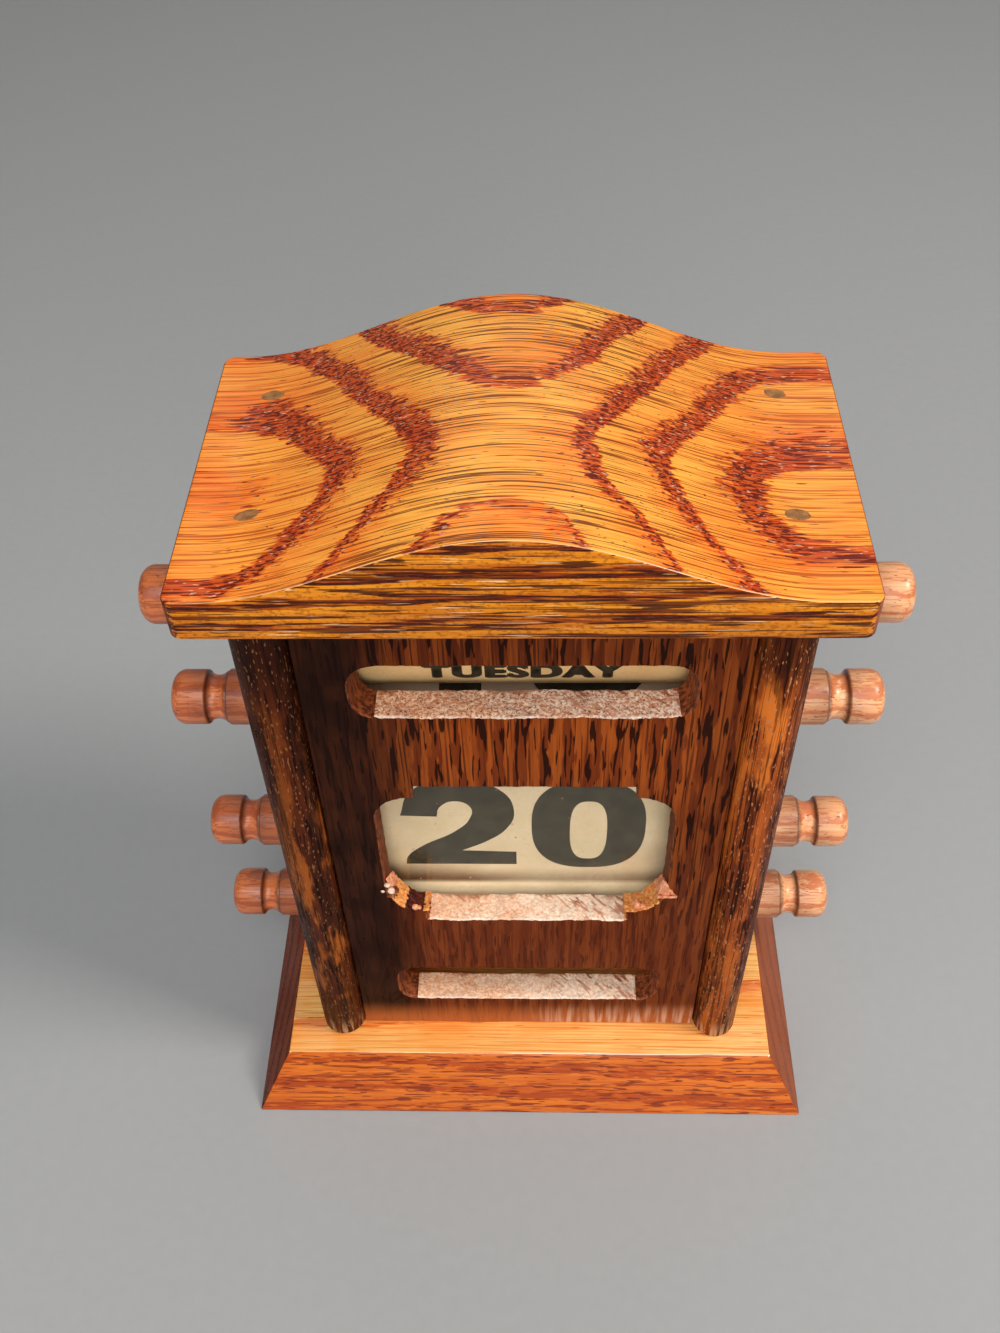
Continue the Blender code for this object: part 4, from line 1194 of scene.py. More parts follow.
def date_outline(window):
    """A rounded slot with a narrower neck that reaches further up and down."""
    top = window["height"] / 2
    shoulder = top - DATE_STEP
    quarter = [(DATE_NECK_HALF_WIDTH, top), (DATE_NECK_HALF_WIDTH, shoulder)]
    centre = (window["half_width"] - window["round"], shoulder - window["round"])
    quarter += arc(*centre, window["round"], QUARTER_TURN, 0, CORNER_SEGMENTS)
    right = quarter + [(x, -z) for x, z in reversed(quarter)]
    outline = right + [(-x, z) for x, z in reversed(right)]
    return outline[::-1]


def evenly_spaced(outline, spacing):
    """Points along a closed outline at about one spacing, with its corners kept."""
    points = []
    for start, end in looped(outline):
        count = max(1, round(math.dist(start, end) / spacing))
        for i in range(count):
            share = i / count
            points.append((start[0] + (end[0] - start[0]) * share, start[1] + (end[1] - start[1]) * share))
    least = spacing * LEAST_SPACING_SHARE
    return [point for point, after in looped(points) if math.dist(point, after) > least]


def outline_normals(points):
    """Unit vectors out of the opening, into the wood, for a counter-clockwise outline."""
    normals = []
    count = len(points)
    for i in range(count):
        before, after = points[i - 2], points[(i + 2) % count]
        along = Vector((after[0] - before[0], after[1] - before[1])).normalized()
        normals.append(Vector((along.y, -along.x)))
    return normals


def is_sill(name, x, normal):
    low, high = SILL_ENDS[name]
    return normal.y < SILL_FACING and low < x < high


def is_torn_corner(name, normal):
    return name == "date" and normal.y < TORN_FACING


def torn(place, roughness):
    """A smooth random height at a place, up or down, for wood of one roughness."""
    size, seed, height = roughness
    point = Vector((place[0] / size, place[1] / size, place[2] / size + seed))
    return noise.fractal(point, *TORN_NOISE) * height


def wall_shift(name, x, z, share, normal):
    """How far the wood stands into the opening at a place on a window's wall."""
    depth = share * (PANEL_HIGH.y - PANEL_LOW.y)
    place = (x, depth, z)
    rim = RIM_WEAR * (1 - min(1.0, share / RIM_WEAR_SHARE)) ** 2
    if is_sill(name, x, normal):
        return SILL_LIFT + torn(place, SILL_CHIPS) + torn(place, SILL_WAVES) - rim
    shift = torn(place, WALL_ROUGHNESS) - rim + WINDOWS[name]["lean"] * share * normal.x**2
    if is_torn_corner(name, normal):
        shift += CORNER_FILL * abs(normal.x * normal.y) * 2
        shift += abs(torn((x, depth * 2, z), TORN_CORNER))
    return shift


def corner_hollow(name, x, z, share):
    """How far the wood broke away downwards behind the date window's lower shoulders."""
    if name != "date":
        return 0.0
    full, none = HOLLOW_ENDS["left" if x < 0 else "right"]
    rise = (z - DATE_Z + WINDOWS[name]["height"] / 2) / DATE_STEP
    fade = (none - abs(x)) / (none - full)
    if rise > HOLLOW_TOP:
        return 0.0
    return HOLLOW_DEPTH * share * min(1.0, max(0.0, rise)) * min(1.0, max(0.0, fade))


def window_rim(name):
    """A window's outline in the panel and its normals, as (x, z) points."""
    is_date = name == "date"
    outline = date_outline(WINDOWS[name]) if is_date else slot_outline(WINDOWS[name])
    centre_z = DATE_Z if is_date else AXIS_PLACES[name].z
    points = evenly_spaced(outline, WINDOW_POINT_SPACING)
    return [(x, z + centre_z) for x, z in points], outline_normals(points)


def wall_coat(name, x, normal, place):
    """Which of the panel's materials a window's wall shows, with patches where the corners broke out."""
    if is_sill(name, x, normal):
        return RAW_CUT
    if not is_torn_corner(name, normal):
        return STAINED_CUT
    patch_x = place.x + torn(place, CORNER_PATCH)
    for limit, material in TORN_CORNER_COATS:
        if patch_x < limit:
            return material
    return STAINED_CUT


def window_rows(name):
    """The wall of one window as rows of places from front to back, and each column's x and normal."""
    points, normals = window_rim(name)
    rows = []
    for row in range(WALL_ROWS + 1):
        share = (row / WALL_ROWS) ** WALL_ROW_POWER
        y = PANEL_LOW.y + share * (PANEL_HIGH.y - PANEL_LOW.y)
        places = []
        for (x, z), normal in zip(points, normals):
            shift = wall_shift(name, x, z, share, normal)
            fall = corner_hollow(name, x, z, share)
            places.append(Vector((x - normal.x * shift, y, z - normal.y * shift - fall)))
        rows.append(places)
    return rows, [(x, normal) for (x, _), normal in zip(points, normals)]


def fill_face(shape, loops, flipped):
    """Fills between an outer loop and its holes, all at one depth."""
    flat = [[Vector((v.co.x, v.co.z, 0.0)) for v in loop] for loop in loops]
    vertices = [v for loop in loops for v in loop]
    for triangle in tessellate_polygon(flat):
        shape.faces.new([vertices[i] for i in (triangle[::-1] if flipped else triangle)])


def front_panel():
    """The panel with its three windows: cut walls, raw sills and torn corners."""
    shape = bmesh.new()
    corners = [(PANEL_LOW.x, PANEL_LOW.z), (PANEL_HIGH.x, PANEL_LOW.z)]
    corners += [(PANEL_HIGH.x, PANEL_HIGH.z), (PANEL_LOW.x, PANEL_HIGH.z)]
    front = [[shape.verts.new((x, PANEL_LOW.y, z)) for x, z in corners]]
    back = [[shape.verts.new((x, PANEL_HIGH.y, z)) for x, z in corners]]
    strip(shape, front[0], back[0])
    for name in WINDOWS:
        rows, columns = window_rows(name)
        loops = [[shape.verts.new(place) for place in row] for row in rows]
        for near, far in zip(loops, loops[1:]):
            for face, point, (x, normal) in zip(strip(shape, near, far), near, columns):
                face.material_index = wall_coat(name, x, normal, point.co)
        front.append(loops[0])
        back.append(loops[-1])
    fill_face(shape, front, False)
    fill_face(shape, back, True)
    mesh = outward(new_mesh("oak_front_panel", shape))
    cuts = [cut_oak("stained_cut_oak"), cut_oak("golden_cut_oak"), cut_oak("hollow_cut_oak")]
    piece("oak_front_panel", mesh, "case", ["front_panel"], [panel_oak(), raw_cut_oak(), *cuts])


# Splinters at the date window's lower corners, and dust

def random_vector(nodes, low, high, seed):
    return nodes.add("FunctionNodeRandomValue", {0: low, 1: high, "Seed": seed}, data_type="FLOAT_VECTOR")


def tuft_tree():
    """Torn wood: a rough lump at each source point, sized by the point's tuft_size."""
    nodes = geometry_tree("torn_tufts", (("Seed", "NodeSocketInt", 1), ("Roughness", "NodeSocketFloat", 0.5)))
    seed = nodes.given["Seed"]
    lump = nodes.add("GeometryNodeMeshIcoSphere", {"Radius": 1.0, "Subdivisions": 4})
    size = nodes.add("GeometryNodeInputNamedAttribute", {"Name": "tuft_size"}, data_type="FLOAT")
    spread = random_vector(nodes, (0.75, 0.75, 0.75), (1.25, 1.1, 1.5), seed)
    turn = random_vector(nodes, (-0.5, -0.5, -0.5), (0.5, 0.5, 0.5), seed + 1.0)
    scale = nodes.resized(spread, size)
    feeds = {"Points": nodes.given["Source"], "Instance": lump, "Rotation": turn, "Scale": scale}
    lumps = nodes.add("GeometryNodeInstanceOnPoints", feeds)
    real = nodes.add("GeometryNodeRealizeInstances", {0: lumps})
    place = nodes.scaled(nodes.add("GeometryNodeInputPosition"), (2200.0, 2200.0, 1100.0))
    push = (nodes.noise(place, 3.0, 0.65) - 0.5) * nodes.given["Roughness"] * size
    offset = nodes.resized(nodes.add("GeometryNodeInputNormal"), push)
    finish_tree(nodes, nodes.add("GeometryNodeSetPosition", {"Geometry": real, "Offset": offset}))
    return nodes


def tufts(name, places, material):
    """One mesh of torn lumps from (x, depth behind the panel's front, z, size) places."""
    source = bpy.data.meshes.new(name)
    source.from_pydata([(x, PANEL_LOW.y + depth, z) for x, depth, z, _ in places], [], [])
    sizes = source.attributes.new("tuft_size", "FLOAT", "POINT")
    for item, (_, _, _, size) in zip(sizes.data, places):
        item.value = size
    mesh = grown(name, tuft_tree(), source, {"Seed": TUFT_SEED, "Material": material})
    piece(name, outward(mesh), "case")


def shard(corners):
    """A flake of torn wood between (x, depth behind the panel's front, z) corners, roughened."""
    shape = bmesh.new()
    for x, depth, z in corners:
        shape.verts.new((x, PANEL_LOW.y + depth, z))
    hull = bmesh.ops.convex_hull(shape, input=shape.verts)
    bmesh.ops.delete(shape, geom=hull["geom_interior"] + hull["geom_unused"], context="VERTS")
    for _ in range(SHARD_ROUNDS):
        bmesh.ops.triangulate(shape, faces=shape.faces)
        bmesh.ops.subdivide_edges(shape, edges=shape.edges, cuts=1, use_grid_fill=True)
    for vertex in shape.verts:
        rough = torn(vertex.co, SHARD_ROUGHNESS)
        vertex.co += Vector((rough, rough * SHARD_DEPTH_SHARE, rough))
    return new_mesh("shard", shape)


def window_splinters():
    """Torn wood at the date window's lower corners: pale and pink tufts and pointed flakes."""
    tufts("pale_splinters", PALE_TUFTS, raw_cut_oak())
    flake_oak = cut_oak("torn_flake_oak")
    tufts("pink_splinters", PINK_TUFTS, flake_oak)
    shards = [shard(corners) for corners in (POINTED_FLAKE, FLAKE_FOOT, LEFT_FLAKE)]
    flakes = outward(joined_mesh("torn_flakes", shards))
    piece("torn_flakes", flakes, "case", (), [flake_oak])


def pane_dust():
    """Specks of sawdust on the pane."""
    chance = random.Random(DUST_SEED)
    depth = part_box("date_glass")[0].y - PANEL_LOW.y
    window = WINDOWS["date"]
    places = []
    for _ in range(DUST_SPECKS):
        x = chance.uniform(-1, 1) * (window["half_width"] - ARRIS)
        z = DATE_Z + chance.uniform(-0.5, 0.5) * (window["height"] - DATE_STEP * 2)
        places.append((x, depth, z, chance.uniform(*DUST_SIZES)))
    tufts("pane_dust", places, raw_cut_oak())


# Turned pieces

def knob_profile(shoulder, reach, roller_end):
    """A knob from its domed end over the head, waist, collar and shank to the spigot in the roller."""
    waist_end = reach - KNOB_HEAD_LENGTH
    waist_start = waist_end - KNOB_WAIST_LENGTH
    collar_radius = node_radius("weekday_knob_right")
    radius = KNOB_HEAD_RADIUS
    end_radius = radius - KNOB_END_ROUND
    sunk, out = KNOB_DOME_SHARES
    profile = [(reach, 0.0), (reach - KNOB_END_DOME * sunk, end_radius * out)]
    end_x = reach - KNOB_END_DOME - KNOB_END_ROUND
    profile += arc(end_x, end_radius, KNOB_END_ROUND, QUARTER_TURN, 0, KNOB_END_POINTS)[::-1]
    edge = (waist_end + KNOB_EDGE_ROUND, radius - KNOB_EDGE_ROUND, KNOB_EDGE_ROUND)
    profile += arc(*edge, QUARTER_TURN, HALF_TURN, KNOB_EDGE_POINTS)
    for i in range(1, KNOB_WAIST_STEPS):
        share = i / KNOB_WAIST_STEPS
        depth = KNOB_WAIST_DEPTH * math.sin(math.pi * share) ** FULL_CURVE_POWER
        waist_radius = radius - KNOB_EDGE_ROUND * (1 - share) - depth
        profile.append((waist_end - KNOB_WAIST_LENGTH * share, waist_radius))
    corner = KNOB_COLLAR_ROUND
    collar = (waist_start - corner, collar_radius - corner, corner)
    profile += arc(*collar, 0, QUARTER_TURN, KNOB_COLLAR_POINTS)
    return profile + [
        (shoulder, collar_radius),
        (shoulder, KNOB_SHANK_RADIUS),
        (roller_end + BODY_GAP, KNOB_SHANK_RADIUS),
        (roller_end + BODY_GAP, KNOB_SPIGOT_RADIUS),
        (roller_end - KNOB_SPIGOT_LENGTH, KNOB_SPIGOT_RADIUS),
        (roller_end - KNOB_SPIGOT_LENGTH, 0.0),
    ]


def mark_grooves(mesh, reach):
    """Notes on each point how near it lies to the grooves beside the knob's waist, which are coloured darker.
    """
    grooves = (reach - KNOB_HEAD_LENGTH, reach - KNOB_HEAD_LENGTH - KNOB_WAIST_LENGTH)
    values = mesh.attributes.new("groove", "FLOAT", "POINT")
    for item, vertex in zip(values.data, mesh.vertices):
        near = min(abs(abs(vertex.co.x) - groove) for groove in grooves)
        item.value = max(0.0, 1 - near / GROOVE_DARKENING_REACH)


def knob(name, side, material):
    """One turned knob with its shank and spigot."""
    node = f"{name}_knob_{side}"
    low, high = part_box(node)
    reach = max(abs(low.x), abs(high.x))
    profile = knob_profile(SIDE_HIGH.x + BODY_GAP, reach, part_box(AXIS_NODES[name])[1].x)
    profile = [(SIDES[side] * x, radius) for x, radius in profile]
    mesh = turned(f"turned_{node}", profile, TURNED_STEPS, material, AXIS_PLACES[name])
    mark_grooves(mesh, reach)
    piece(f"turned_{node}", mesh, f"{name}_roller_set", [node])


def roller(name, material):
    """A plain roller with a blind bore in each end for a knob's spigot."""
    node = AXIS_NODES[name]
    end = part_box(node)[1].x
    radius = node_radius(node)
    bore = KNOB_SPIGOT_RADIUS + BODY_GAP
    floor = end - KNOB_SPIGOT_LENGTH - BODY_GAP
    right = [(floor, 0.0), (floor, bore), (end, bore), (end, radius - BODY_GAP), (end - BODY_GAP, radius)]
    profile = right + [(-x, r) for x, r in reversed(right)]
    mesh = turned(f"turned_{node}", profile, SLEEVE_STEPS, material, AXIS_PLACES[name])
    piece(f"turned_{node}", mesh, f"{name}_roller_set", [node])


def sleeve(name, material):
    """Paper wrapped or wound on a roller."""
    node = SLEEVE_NODES[name]
    low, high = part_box(node)
    inner = node_radius(AXIS_NODES[name]) + BODY_GAP
    outer = SLEEVE_RADII[name]
    profile = [(high.x, inner), (high.x, outer), (low.x, outer), (low.x, inner), (high.x, inner)]
    mesh = turned(f"paper_{node}", profile, SLEEVE_STEPS, material, AXIS_PLACES[name])
    piece(f"paper_{node}", mesh, f"{name}_roller_set", [node])


# Print

def flat_print(name, curve):
    """A closed mesh of a flat curve or text, with its caps joined to its sides."""
    curve.extrude = FLAT_THICKNESS / 2
    obj = add_object(name, curve)
    mesh = evaluated_mesh(obj)
    bpy.data.objects.remove(obj)
    return closed(welded(mesh), mesh)


def pressed(mesh):
    """Brings a flat mesh to the print's own thickness."""
    for vertex in mesh.vertices:
        vertex.co.z = math.copysign(PRINT_THICKNESS / 2, vertex.co.z)
    return mesh


def fitted(mesh, low_x, low_y, width, height):
    """Scales and moves a flat mesh so that it fills a rectangle."""
    xs = [v.co.x for v in mesh.vertices]
    ys = [v.co.y for v in mesh.vertices]
    left, right, foot, top = min(xs), max(xs), min(ys), max(ys)
    for vertex in mesh.vertices:
        vertex.co.x = low_x + (vertex.co.x - left) / (right - left) * width
        vertex.co.y = low_y + (vertex.co.y - foot) / (top - foot) * height
    return mesh


def word_mesh(word, letter_width, height):
    """A word in wide bold capitals, centred across and standing on y = 0."""
    text = bpy.data.curves.new(word, "FONT")
    text.body = word
    text.size = 1.0
    text.offset = LETTER_WEIGHT
    text.space_character = LETTER_SPACING
    text.resolution_u = LETTER_STEPS
    mesh = flat_print(word, text)
    copies = [mesh.copy() for _ in WORD_OVERPRINTS]
    for copy, shift in zip(copies, WORD_OVERPRINTS):
        copy.transform(Matrix.Translation((*shift, 0.0)))
    width = letter_width * len(word)
    return pressed(fitted(joined_mesh(word, copies), -width / 2, 0.0, width, height))


def sliced(mesh, spacing):
    """Cuts a flat mesh across its height, so that it can be bent round a roller."""
    shape = opened(mesh)
    ys = [v.co.y for v in shape.verts]
    y = min(ys) + spacing
    while y < max(ys):
        everything = shape.verts[:] + shape.edges[:] + shape.faces[:]
        bmesh.ops.bisect_plane(shape, geom=everything, plane_co=(0.0, y, 0.0), plane_no=(0.0, 1.0, 0.0))
        y += spacing
    return closed(shape, mesh)


def wrapped(mesh, name, foot_angle):
    """Bends a flat mesh round a sleeve. Its foot lies at an angle above the front of the roller."""
    centre, radius = AXIS_PLACES[name], SLEEVE_RADII[name]
    for vertex in sliced(mesh, PRINT_SLICE).vertices:
        angle = foot_angle + vertex.co.y / radius
        reach = radius + PRINT_THICKNESS / 2 + vertex.co.z
        vertex.co.y = centre.y - reach * math.cos(angle)
        vertex.co.z = centre.z + reach * math.sin(angle)
    return mesh


def print_piece(name, mesh, body, ink):
    piece(f"{name}_print", outward(mesh, smooth=False), body, (), [ink])


def band_of_words(name, ink):
    """The names round a drum, evenly spaced, each upright as it passes the window."""
    words, letter_width, letter_height, foot_angle = DRUM_WORDS[name]
    step = 2 * math.pi / len(words)
    meshes = []
    for i, word in enumerate(words):
        mesh = word_mesh(word, letter_width, letter_height)
        meshes.append(wrapped(mesh, name, foot_angle + i * step))
    print_piece(name, joined_mesh(f"{name}_print", meshes), f"{name}_roller_set", ink)


def bezier_outline(curve, points):
    """A closed outline of (x, y, smooth) points. One that isn't smooth is a corner."""
    spline = curve.splines.new("BEZIER")
    spline.bezier_points.add(len(points) - 1)
    spline.use_cyclic_u = True
    for point, (x, y, smooth) in zip(spline.bezier_points, points):
        point.co = (x, y, 0.0)
        kind = "AUTO" if smooth else "VECTOR"
        point.handle_left_type = kind
        point.handle_right_type = kind


def superellipse(centre_x, centre_y, half_width, half_height, power):
    outline = []
    for i in range(ROUND_NUMERAL_POINTS):
        angle = 2 * math.pi * i / ROUND_NUMERAL_POINTS
        c, s = math.cos(angle), math.sin(angle)
        x = centre_x + half_width * math.copysign(abs(c) ** (2 / power), c)
        y = centre_y + half_height * math.copysign(abs(s) ** (2 / power), s)
        outline.append((x, y, 1))
    return outline


# Outlines as shares of the numeral's height, drawn as a plain wide bold grotesque: 1 is smooth, 0 a corner
NUMERAL_SHARES = {
    "0": (superellipse(0.42, 0.5, 0.42, 0.5, 2.6), superellipse(0.42, 0.44, 0.137, 0.335, 2.8)),
    "1": (
        (
            (0.36, 0.0, 0), (0.65, 0.0, 0), (0.65, 1.0, 0), (0.42, 1.0, 0),
            (0.32, 0.90, 1), (0.14, 0.83, 0), (0.14, 0.66, 0), (0.36, 0.70, 0),
        ),
    ),
    "2": (
        (
            (0.03, 0.034, 0), (0.87, 0.034, 0), (0.87, 0.184, 0), (0.46, 0.20, 0), (0.66, 0.32, 1),
            (0.80, 0.46, 1), (0.86, 0.66, 1), (0.76, 0.90, 1), (0.44, 1.01, 1), (0.13, 0.90, 1),
            (0.02, 0.61, 0), (0.29, 0.60, 0), (0.32, 0.71, 1), (0.43, 0.775, 1), (0.54, 0.71, 1),
            (0.53, 0.57, 1), (0.42, 0.43, 1), (0.15, 0.24, 1), (0.045, 0.12, 1),
        ),
    ),
    "9": (
        (
            (0.0, 0.26, 0), (0.05, 0.07, 1), (0.38, -0.01, 1), (0.72, 0.07, 1), (0.83, 0.50, 1),
            (0.73, 0.90, 1), (0.41, 1.01, 1), (0.10, 0.90, 1), (0.0, 0.66, 1), (0.09, 0.42, 1),
            (0.34, 0.33, 1), (0.545, 0.40, 0), (0.50, 0.22, 1), (0.40, 0.17, 1), (0.31, 0.20, 1),
            (0.29, 0.28, 0),
        ),
        superellipse(0.42, 0.665, 0.125, 0.17, 2.4),
    ),
}


def numeral_mesh(numeral, left):
    curve = bpy.data.curves.new(f"numeral_{numeral}", "CURVE")
    curve.dimensions = "2D"
    curve.fill_mode = "BOTH"
    curve.resolution_u = NUMERAL_STEPS
    for outline in NUMERAL_SHARES[numeral]:
        bezier_outline(curve, outline)
    mesh = pressed(flat_print(f"numeral_{numeral}", curve))
    for vertex in mesh.vertices:
        vertex.co.x = left + vertex.co.x * NUMERAL_HEIGHT
        vertex.co.y = vertex.co.y * NUMERAL_HEIGHT
    return mesh


def number_mesh(number):
    """A two-figure date between the same left and right edges."""
    lefts = (DATE_LEFT_X, DATE_LEFT_X + NUMERAL_WIDTH_SHARE * NUMERAL_HEIGHT + NUMERAL_GAP)
    return joined_mesh(number, [numeral_mesh(n, left) for n, left in zip(number, lefts)])


def date_sheet(material):
    """The stretch of date paper: flat behind the pane, then creased, with a bulge above the month drum."""
    top_y, top_z = SPAN_HIGH.y - SPAN_THICKNESS, SPAN_HIGH.z
    slope = (top_y - SPAN_LOW.y) / (top_z - SPAN_LOW.z)
    front = [(top_y, top_z)]
    for i in range(BULGE_STEPS + 1):
        share = i / BULGE_STEPS
        z = SHEET_CREASE_Z + (SHEET_FOOT_Z - SHEET_CREASE_Z) * share
        flat_y = top_y + (z - top_z) * slope
        front.append((flat_y - SHEET_BULGE * math.sin(math.pi * share) ** FULL_CURVE_POWER, z))
    outline = front + [(y + SPAN_THICKNESS, z) for y, z in reversed(front)]
    shape = bmesh.new()
    ends = [[shape.verts.new((x, y, z)) for y, z in outline] for x in (SPAN_LOW.x, SPAN_HIGH.x)]
    strip(shape, *ends)
    last = len(outline) - 1
    for i in range(len(front) - 1):
        for end in ends:
            shape.faces.new((end[i], end[i + 1], end[last - 1 - i], end[last - i]))
    mesh = outward(new_mesh("paper_date_span", shape))
    piece("paper_date_span", mesh, "case", ["date_paper_span"], [material])


def date_in_window(ink):
    """The number on the sheet behind the pane, which leans from one roll's front to the other's."""
    upper, lower = AXIS_PLACES["date_upper"], AXIS_PLACES["date_lower"]
    lower_radius = SLEEVE_RADII["date_lower"]
    normal_z = (lower_radius - SLEEVE_RADII["date_upper"]) / (upper.z - lower.z)
    normal = Vector((0.0, -math.sqrt(1 - normal_z**2), normal_z))
    up = Vector((0.0, normal.z, -normal.y))
    face = lower + normal * (lower_radius + DATE_FACE_LIFT)
    foot = (DATE_FOOT_Z - face.z) / up.z
    mesh = number_mesh("20")
    for vertex in mesh.vertices:
        out = PRINT_THICKNESS / 2 + vertex.co.z
        place = face + up * (foot + vertex.co.y) + normal * out
        vertex.co = (vertex.co.x, place.y, place.z)
    print_piece("date", mesh, "case", ink)


def date_on_roll(name, number, foot_z, ink):
    """A number on one of the date rolls, its foot at a height measured along the paper."""
    foot_angle = (foot_z - AXIS_PLACES[name].z) / SLEEVE_RADII[name]
    print_piece(name, wrapped(number_mesh(number), name, foot_angle), f"{name}_roller_set", ink)


def rollers():
    wood, ink = bare_wood(), printing_ink()
    drum, date = aged_paper("drum_paper", DRUM_PAPER), aged_paper("date_paper", DATE_PAPER)
    papers = {"weekday": drum, "date_upper": date, "date_lower": date, "month": drum}
    knob_oaks = {side: knob_oak(side) for side in SIDES}
    for name, paper in papers.items():
        roller(name, wood)
        sleeve(name, paper)
        for side in SIDES:
            knob(name, side, knob_oaks[side])
    for name in DRUM_WORDS:
        band_of_words(name, ink)
    date_on_roll("date_upper", "19", DATE_FOOT_Z + DATE_PITCH, ink)
    date_on_roll("date_lower", "21", DATE_FOOT_Z - DATE_PITCH, ink)
    date_sheet(aged_paper("creased_paper", DATE_PAPER, creased=True))
    date_in_window(ink)


# Fasteners

def screw_places(board):
    """Each screw of a board: the middle of its head's face and the turn from +X to its outward side."""
    places = {}
    for end in SCREW_ENDS[board]:
        for side in SIDES:
            node = f"{board}_screw_{end}_{side}"
            low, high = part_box(node)
            middle = (low + high) / 2
            if board == "base":
                middle.z = low.z
                turn = Matrix.Rotation(QUARTER_TURN, 4, "Y")
            else:
                middle.y = high.y
                turn = Matrix.Rotation(QUARTER_TURN, 4, "Z")
            places[node] = (middle, turn)
    return places


def screw_profile(gap, above):
    head, shank = SCREW_HEAD_RADIUS + gap, SCREW_SHANK_RADIUS + gap
    top = [(above, 0.0), (above, head), (0.0, head)]
    return top + [(-SCREW_HEAD_DEPTH, shank), (-SCREW_LENGTH, shank), (-SCREW_LENGTH, 0.0)]


def screw_hole(place, turn):
    mesh = turned("screw_hole", screw_profile(SCREW_HOLE_GAP, CUT_OVERRUN), SCREW_STEPS, None)
    mesh.transform(Matrix.Translation(place) @ turn)
    return outward(mesh, smooth=False)


def screws(board, slot_angles, material):
    """The slotted screws of one board, as one mesh."""
    meshes = []
    places = screw_places(board)
    slot_low = Vector((-SCREW_SLOT_DEPTH, -SCREW_SLOT_REACH, -SCREW_SLOT_WIDTH / 2))
    slot_high = Vector((CUT_OVERRUN, SCREW_SLOT_REACH, SCREW_SLOT_WIDTH / 2))
    for (place, turn), slot_angle in zip(places.values(), slot_angles):
        mesh = turned("screw", screw_profile(0.0, SCREW_PROUD), SCREW_STEPS, material)
        mesh = drilled(mesh, [box_mesh("slot", slot_low, slot_high)])
        mesh.transform(Matrix.Translation(place) @ turn @ Matrix.Rotation(slot_angle, 4, "X"))
        meshes.append(mesh)
    mesh = outward(joined_mesh(f"{board}_screws", meshes))
    mesh.materials.clear()
    piece(f"slotted_{board}_screws", mesh, "case", list(places), [material])


def brad_spot(node, material):
    """A filled brad: a slightly uneven spot of putty that follows the roof."""
    low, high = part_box(node)
    x, y = (low.x + high.x) / 2, (low.y + high.y) / 2
    variety = x * SPOT_VARIETY[0] + y * SPOT_VARIETY[1]
    shape = bmesh.new()
    middle_top = shape.verts.new((x, y, roof_top(x) + SPOT_LIFT))
    middle_low = shape.verts.new((x, y, roof_top(x) - SPOT_MIDDLE_SINK))
    loops = []
    for ring in range(1, SPOT_RINGS + 1):
        lift = SPOT_LIFT if ring < SPOT_RINGS else SPOT_EDGE_LIFT
        loop = []
        for i in range(SPOT_STEPS):
            angle = 2 * math.pi * i / SPOT_STEPS
            c, s = math.cos(angle), math.sin(angle)
            wobble = 1 + SPOT_WOBBLE * noise.noise(Vector((c, s, variety)))
            reach = wobble * ring / SPOT_RINGS
            spot_x = x + reach * SPOT_HALF_WIDTH * c
            spot_y = y + reach * SPOT_HALF_DEPTH * s
            loop.append(shape.verts.new((spot_x, spot_y, roof_top(spot_x) + lift)))
        loops.append(loop)
    loops.append([shape.verts.new((v.co.x, v.co.y, v.co.z - SPOT_EDGE_SINK)) for v in loops[-1]])
    for near, far in zip(loops, loops[1:]):
        strip(shape, near, far)
    for (a, b), (c, d) in zip(looped(loops[0]), looped(loops[-1])):
        shape.faces.new((middle_top, a, b))
        shape.faces.new((middle_low, d, c))
    piece(f"filled_{node}", outward(new_mesh(node, shape)), "case", [node], [material])


# Stage, lights and camera

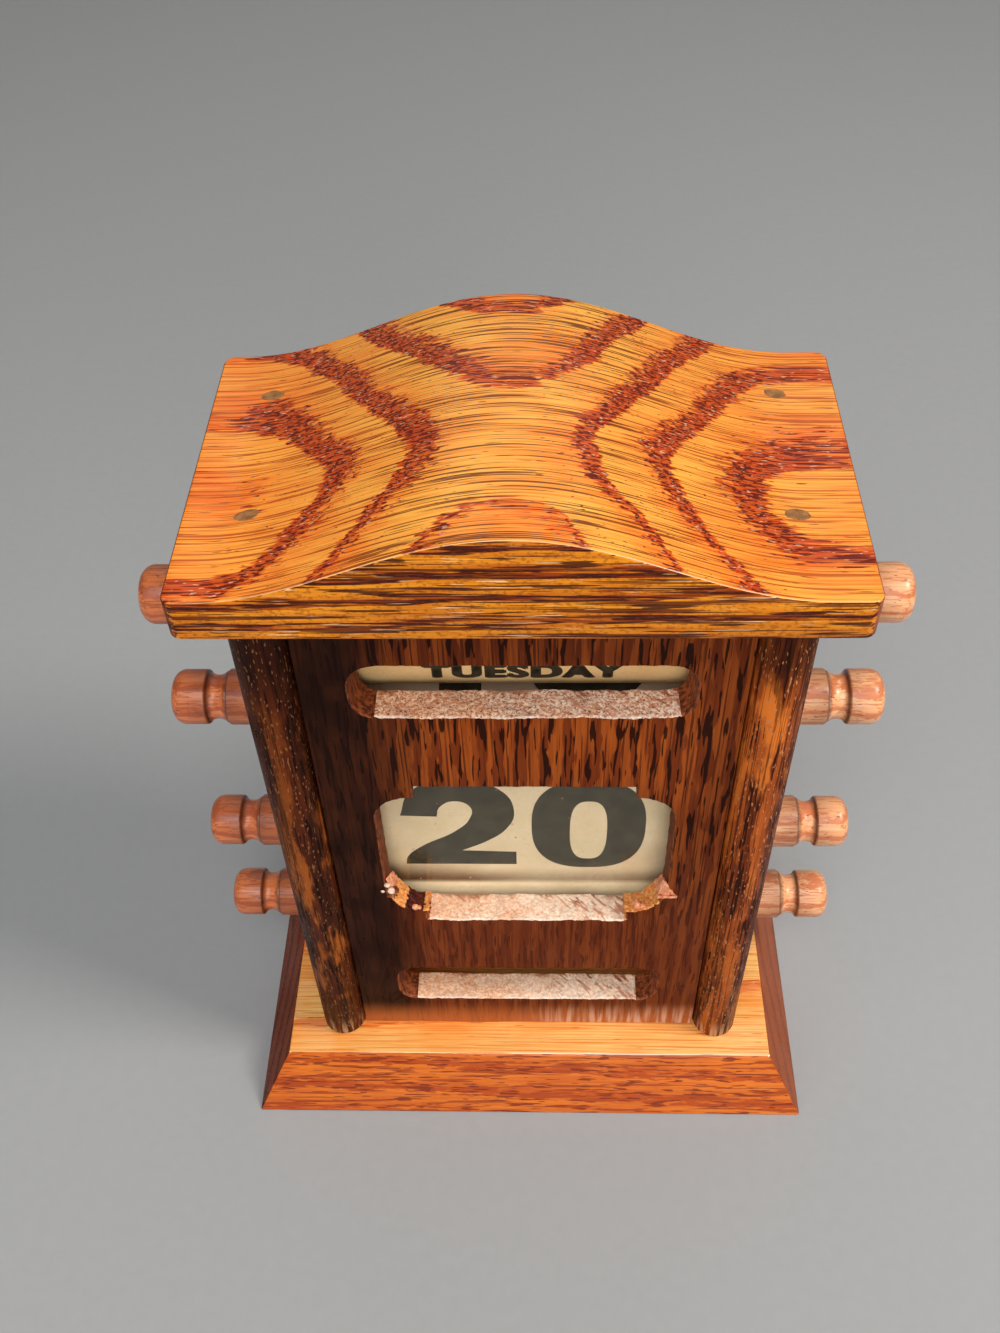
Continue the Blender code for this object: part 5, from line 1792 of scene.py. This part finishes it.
def studio():
    """A plain pale floor, a pale surround and soft lights with the key from the right."""
    bpy.context.scene.view_settings.view_transform = "Standard"
    low = Vector((-FLOOR_HALF_WIDTH, -FLOOR_HALF_WIDTH, FLOOR_Z[0]))
    high = Vector((FLOOR_HALF_WIDTH, FLOOR_HALF_WIDTH, FLOOR_Z[1]))
    floor = add_object("studio_floor", box_mesh("floor", low, high))
    nodes = Finish("pale_floor", Specular_IOR_Level=0.2)
    grain = nodes.streaks((400.0, 400.0, 400.0), 3.0)
    colour = nodes.blend(grain, (164, 167, 170), (171, 173, 176))
    floor.data.materials.append(nodes.surface(colour, grain.ramp(0.0, 1.0, 0.7, 0.8), grain, 0.00005))
    world = bpy.data.worlds.new("pale_surround")
    bpy.context.scene.world = world
    world.use_nodes = True
    background = world.node_tree.nodes["Background"]
    background.inputs["Color"].default_value = seen(SURROUND_COLOUR)
    background.inputs["Strength"].default_value = SURROUND_STRENGTH
    for name, (place, size, power, colour) in LIGHTS.items():
        area_light(name, place, size, power, colour)


def area_light(name, place, size, power, colour):
    light = bpy.data.lights.new(name, "AREA")
    light.size = size
    light.energy = power
    light.color = colour
    lamp = add_object(name, light)
    lamp.location = place
    aim = LIGHT_AIM - lamp.location
    lamp.rotation_euler = aim.to_track_quat("-Z", "Y").to_euler()


def camera():
    """A camera at the photograph's place, angle and field of view."""
    data = bpy.data.cameras.new("photo_camera")
    data.sensor_width = SENSOR_WIDTH
    data.lens = CAMERA_FOCAL_PIXELS / IMAGE_HEIGHT * SENSOR_WIDTH
    data.clip_start = CAMERA_NEAREST
    obj = add_object("photo_camera", data)
    level = Vector((math.sin(CAMERA_YAW), math.cos(CAMERA_YAW), 0.0))
    ahead = level * math.cos(CAMERA_PITCH) - Vector((0.0, 0.0, math.sin(CAMERA_PITCH)))
    right = Vector((level.y, -level.x, 0.0))
    down = ahead.cross(right)
    image_right = right * math.cos(CAMERA_ROLL) + down * math.sin(CAMERA_ROLL)
    image_down = down * math.cos(CAMERA_ROLL) - right * math.sin(CAMERA_ROLL)
    turn = Matrix((image_right, -image_down, -ahead)).transposed().to_4x4()
    obj.matrix_world = Matrix.Translation(CAMERA_PLACE) @ turn
    bpy.context.scene.camera = obj


def pane_and_beads():
    """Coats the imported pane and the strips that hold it."""
    glass, wood = window_glass(), bare_wood()
    for node, material in (("date_glass", glass), ("glass_bead_left", wood), ("glass_bead_right", wood)):
        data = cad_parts[node].data
        data.materials.clear()
        data.materials.append(material)


def desk_calendar():
    camera()
    studio()
    roof_board()
    base_board()
    back_board()
    for side in SIDES:
        side_board(side, side_oak(side))
    front_panel()
    window_splinters()
    pane_dust()
    rollers()
    steel = screw_steel()
    screws("base", (0.3, 1.1, 2.0, 0.7), steel)
    screws("back", (0.9, 0.2, 1.4, 2.4), steel)
    filler = putty()
    for side in SIDES:
        for end in ENDS:
            brad_spot(f"roof_brad_{end}_{side}", filler)
    pane_and_beads()


desk_calendar()
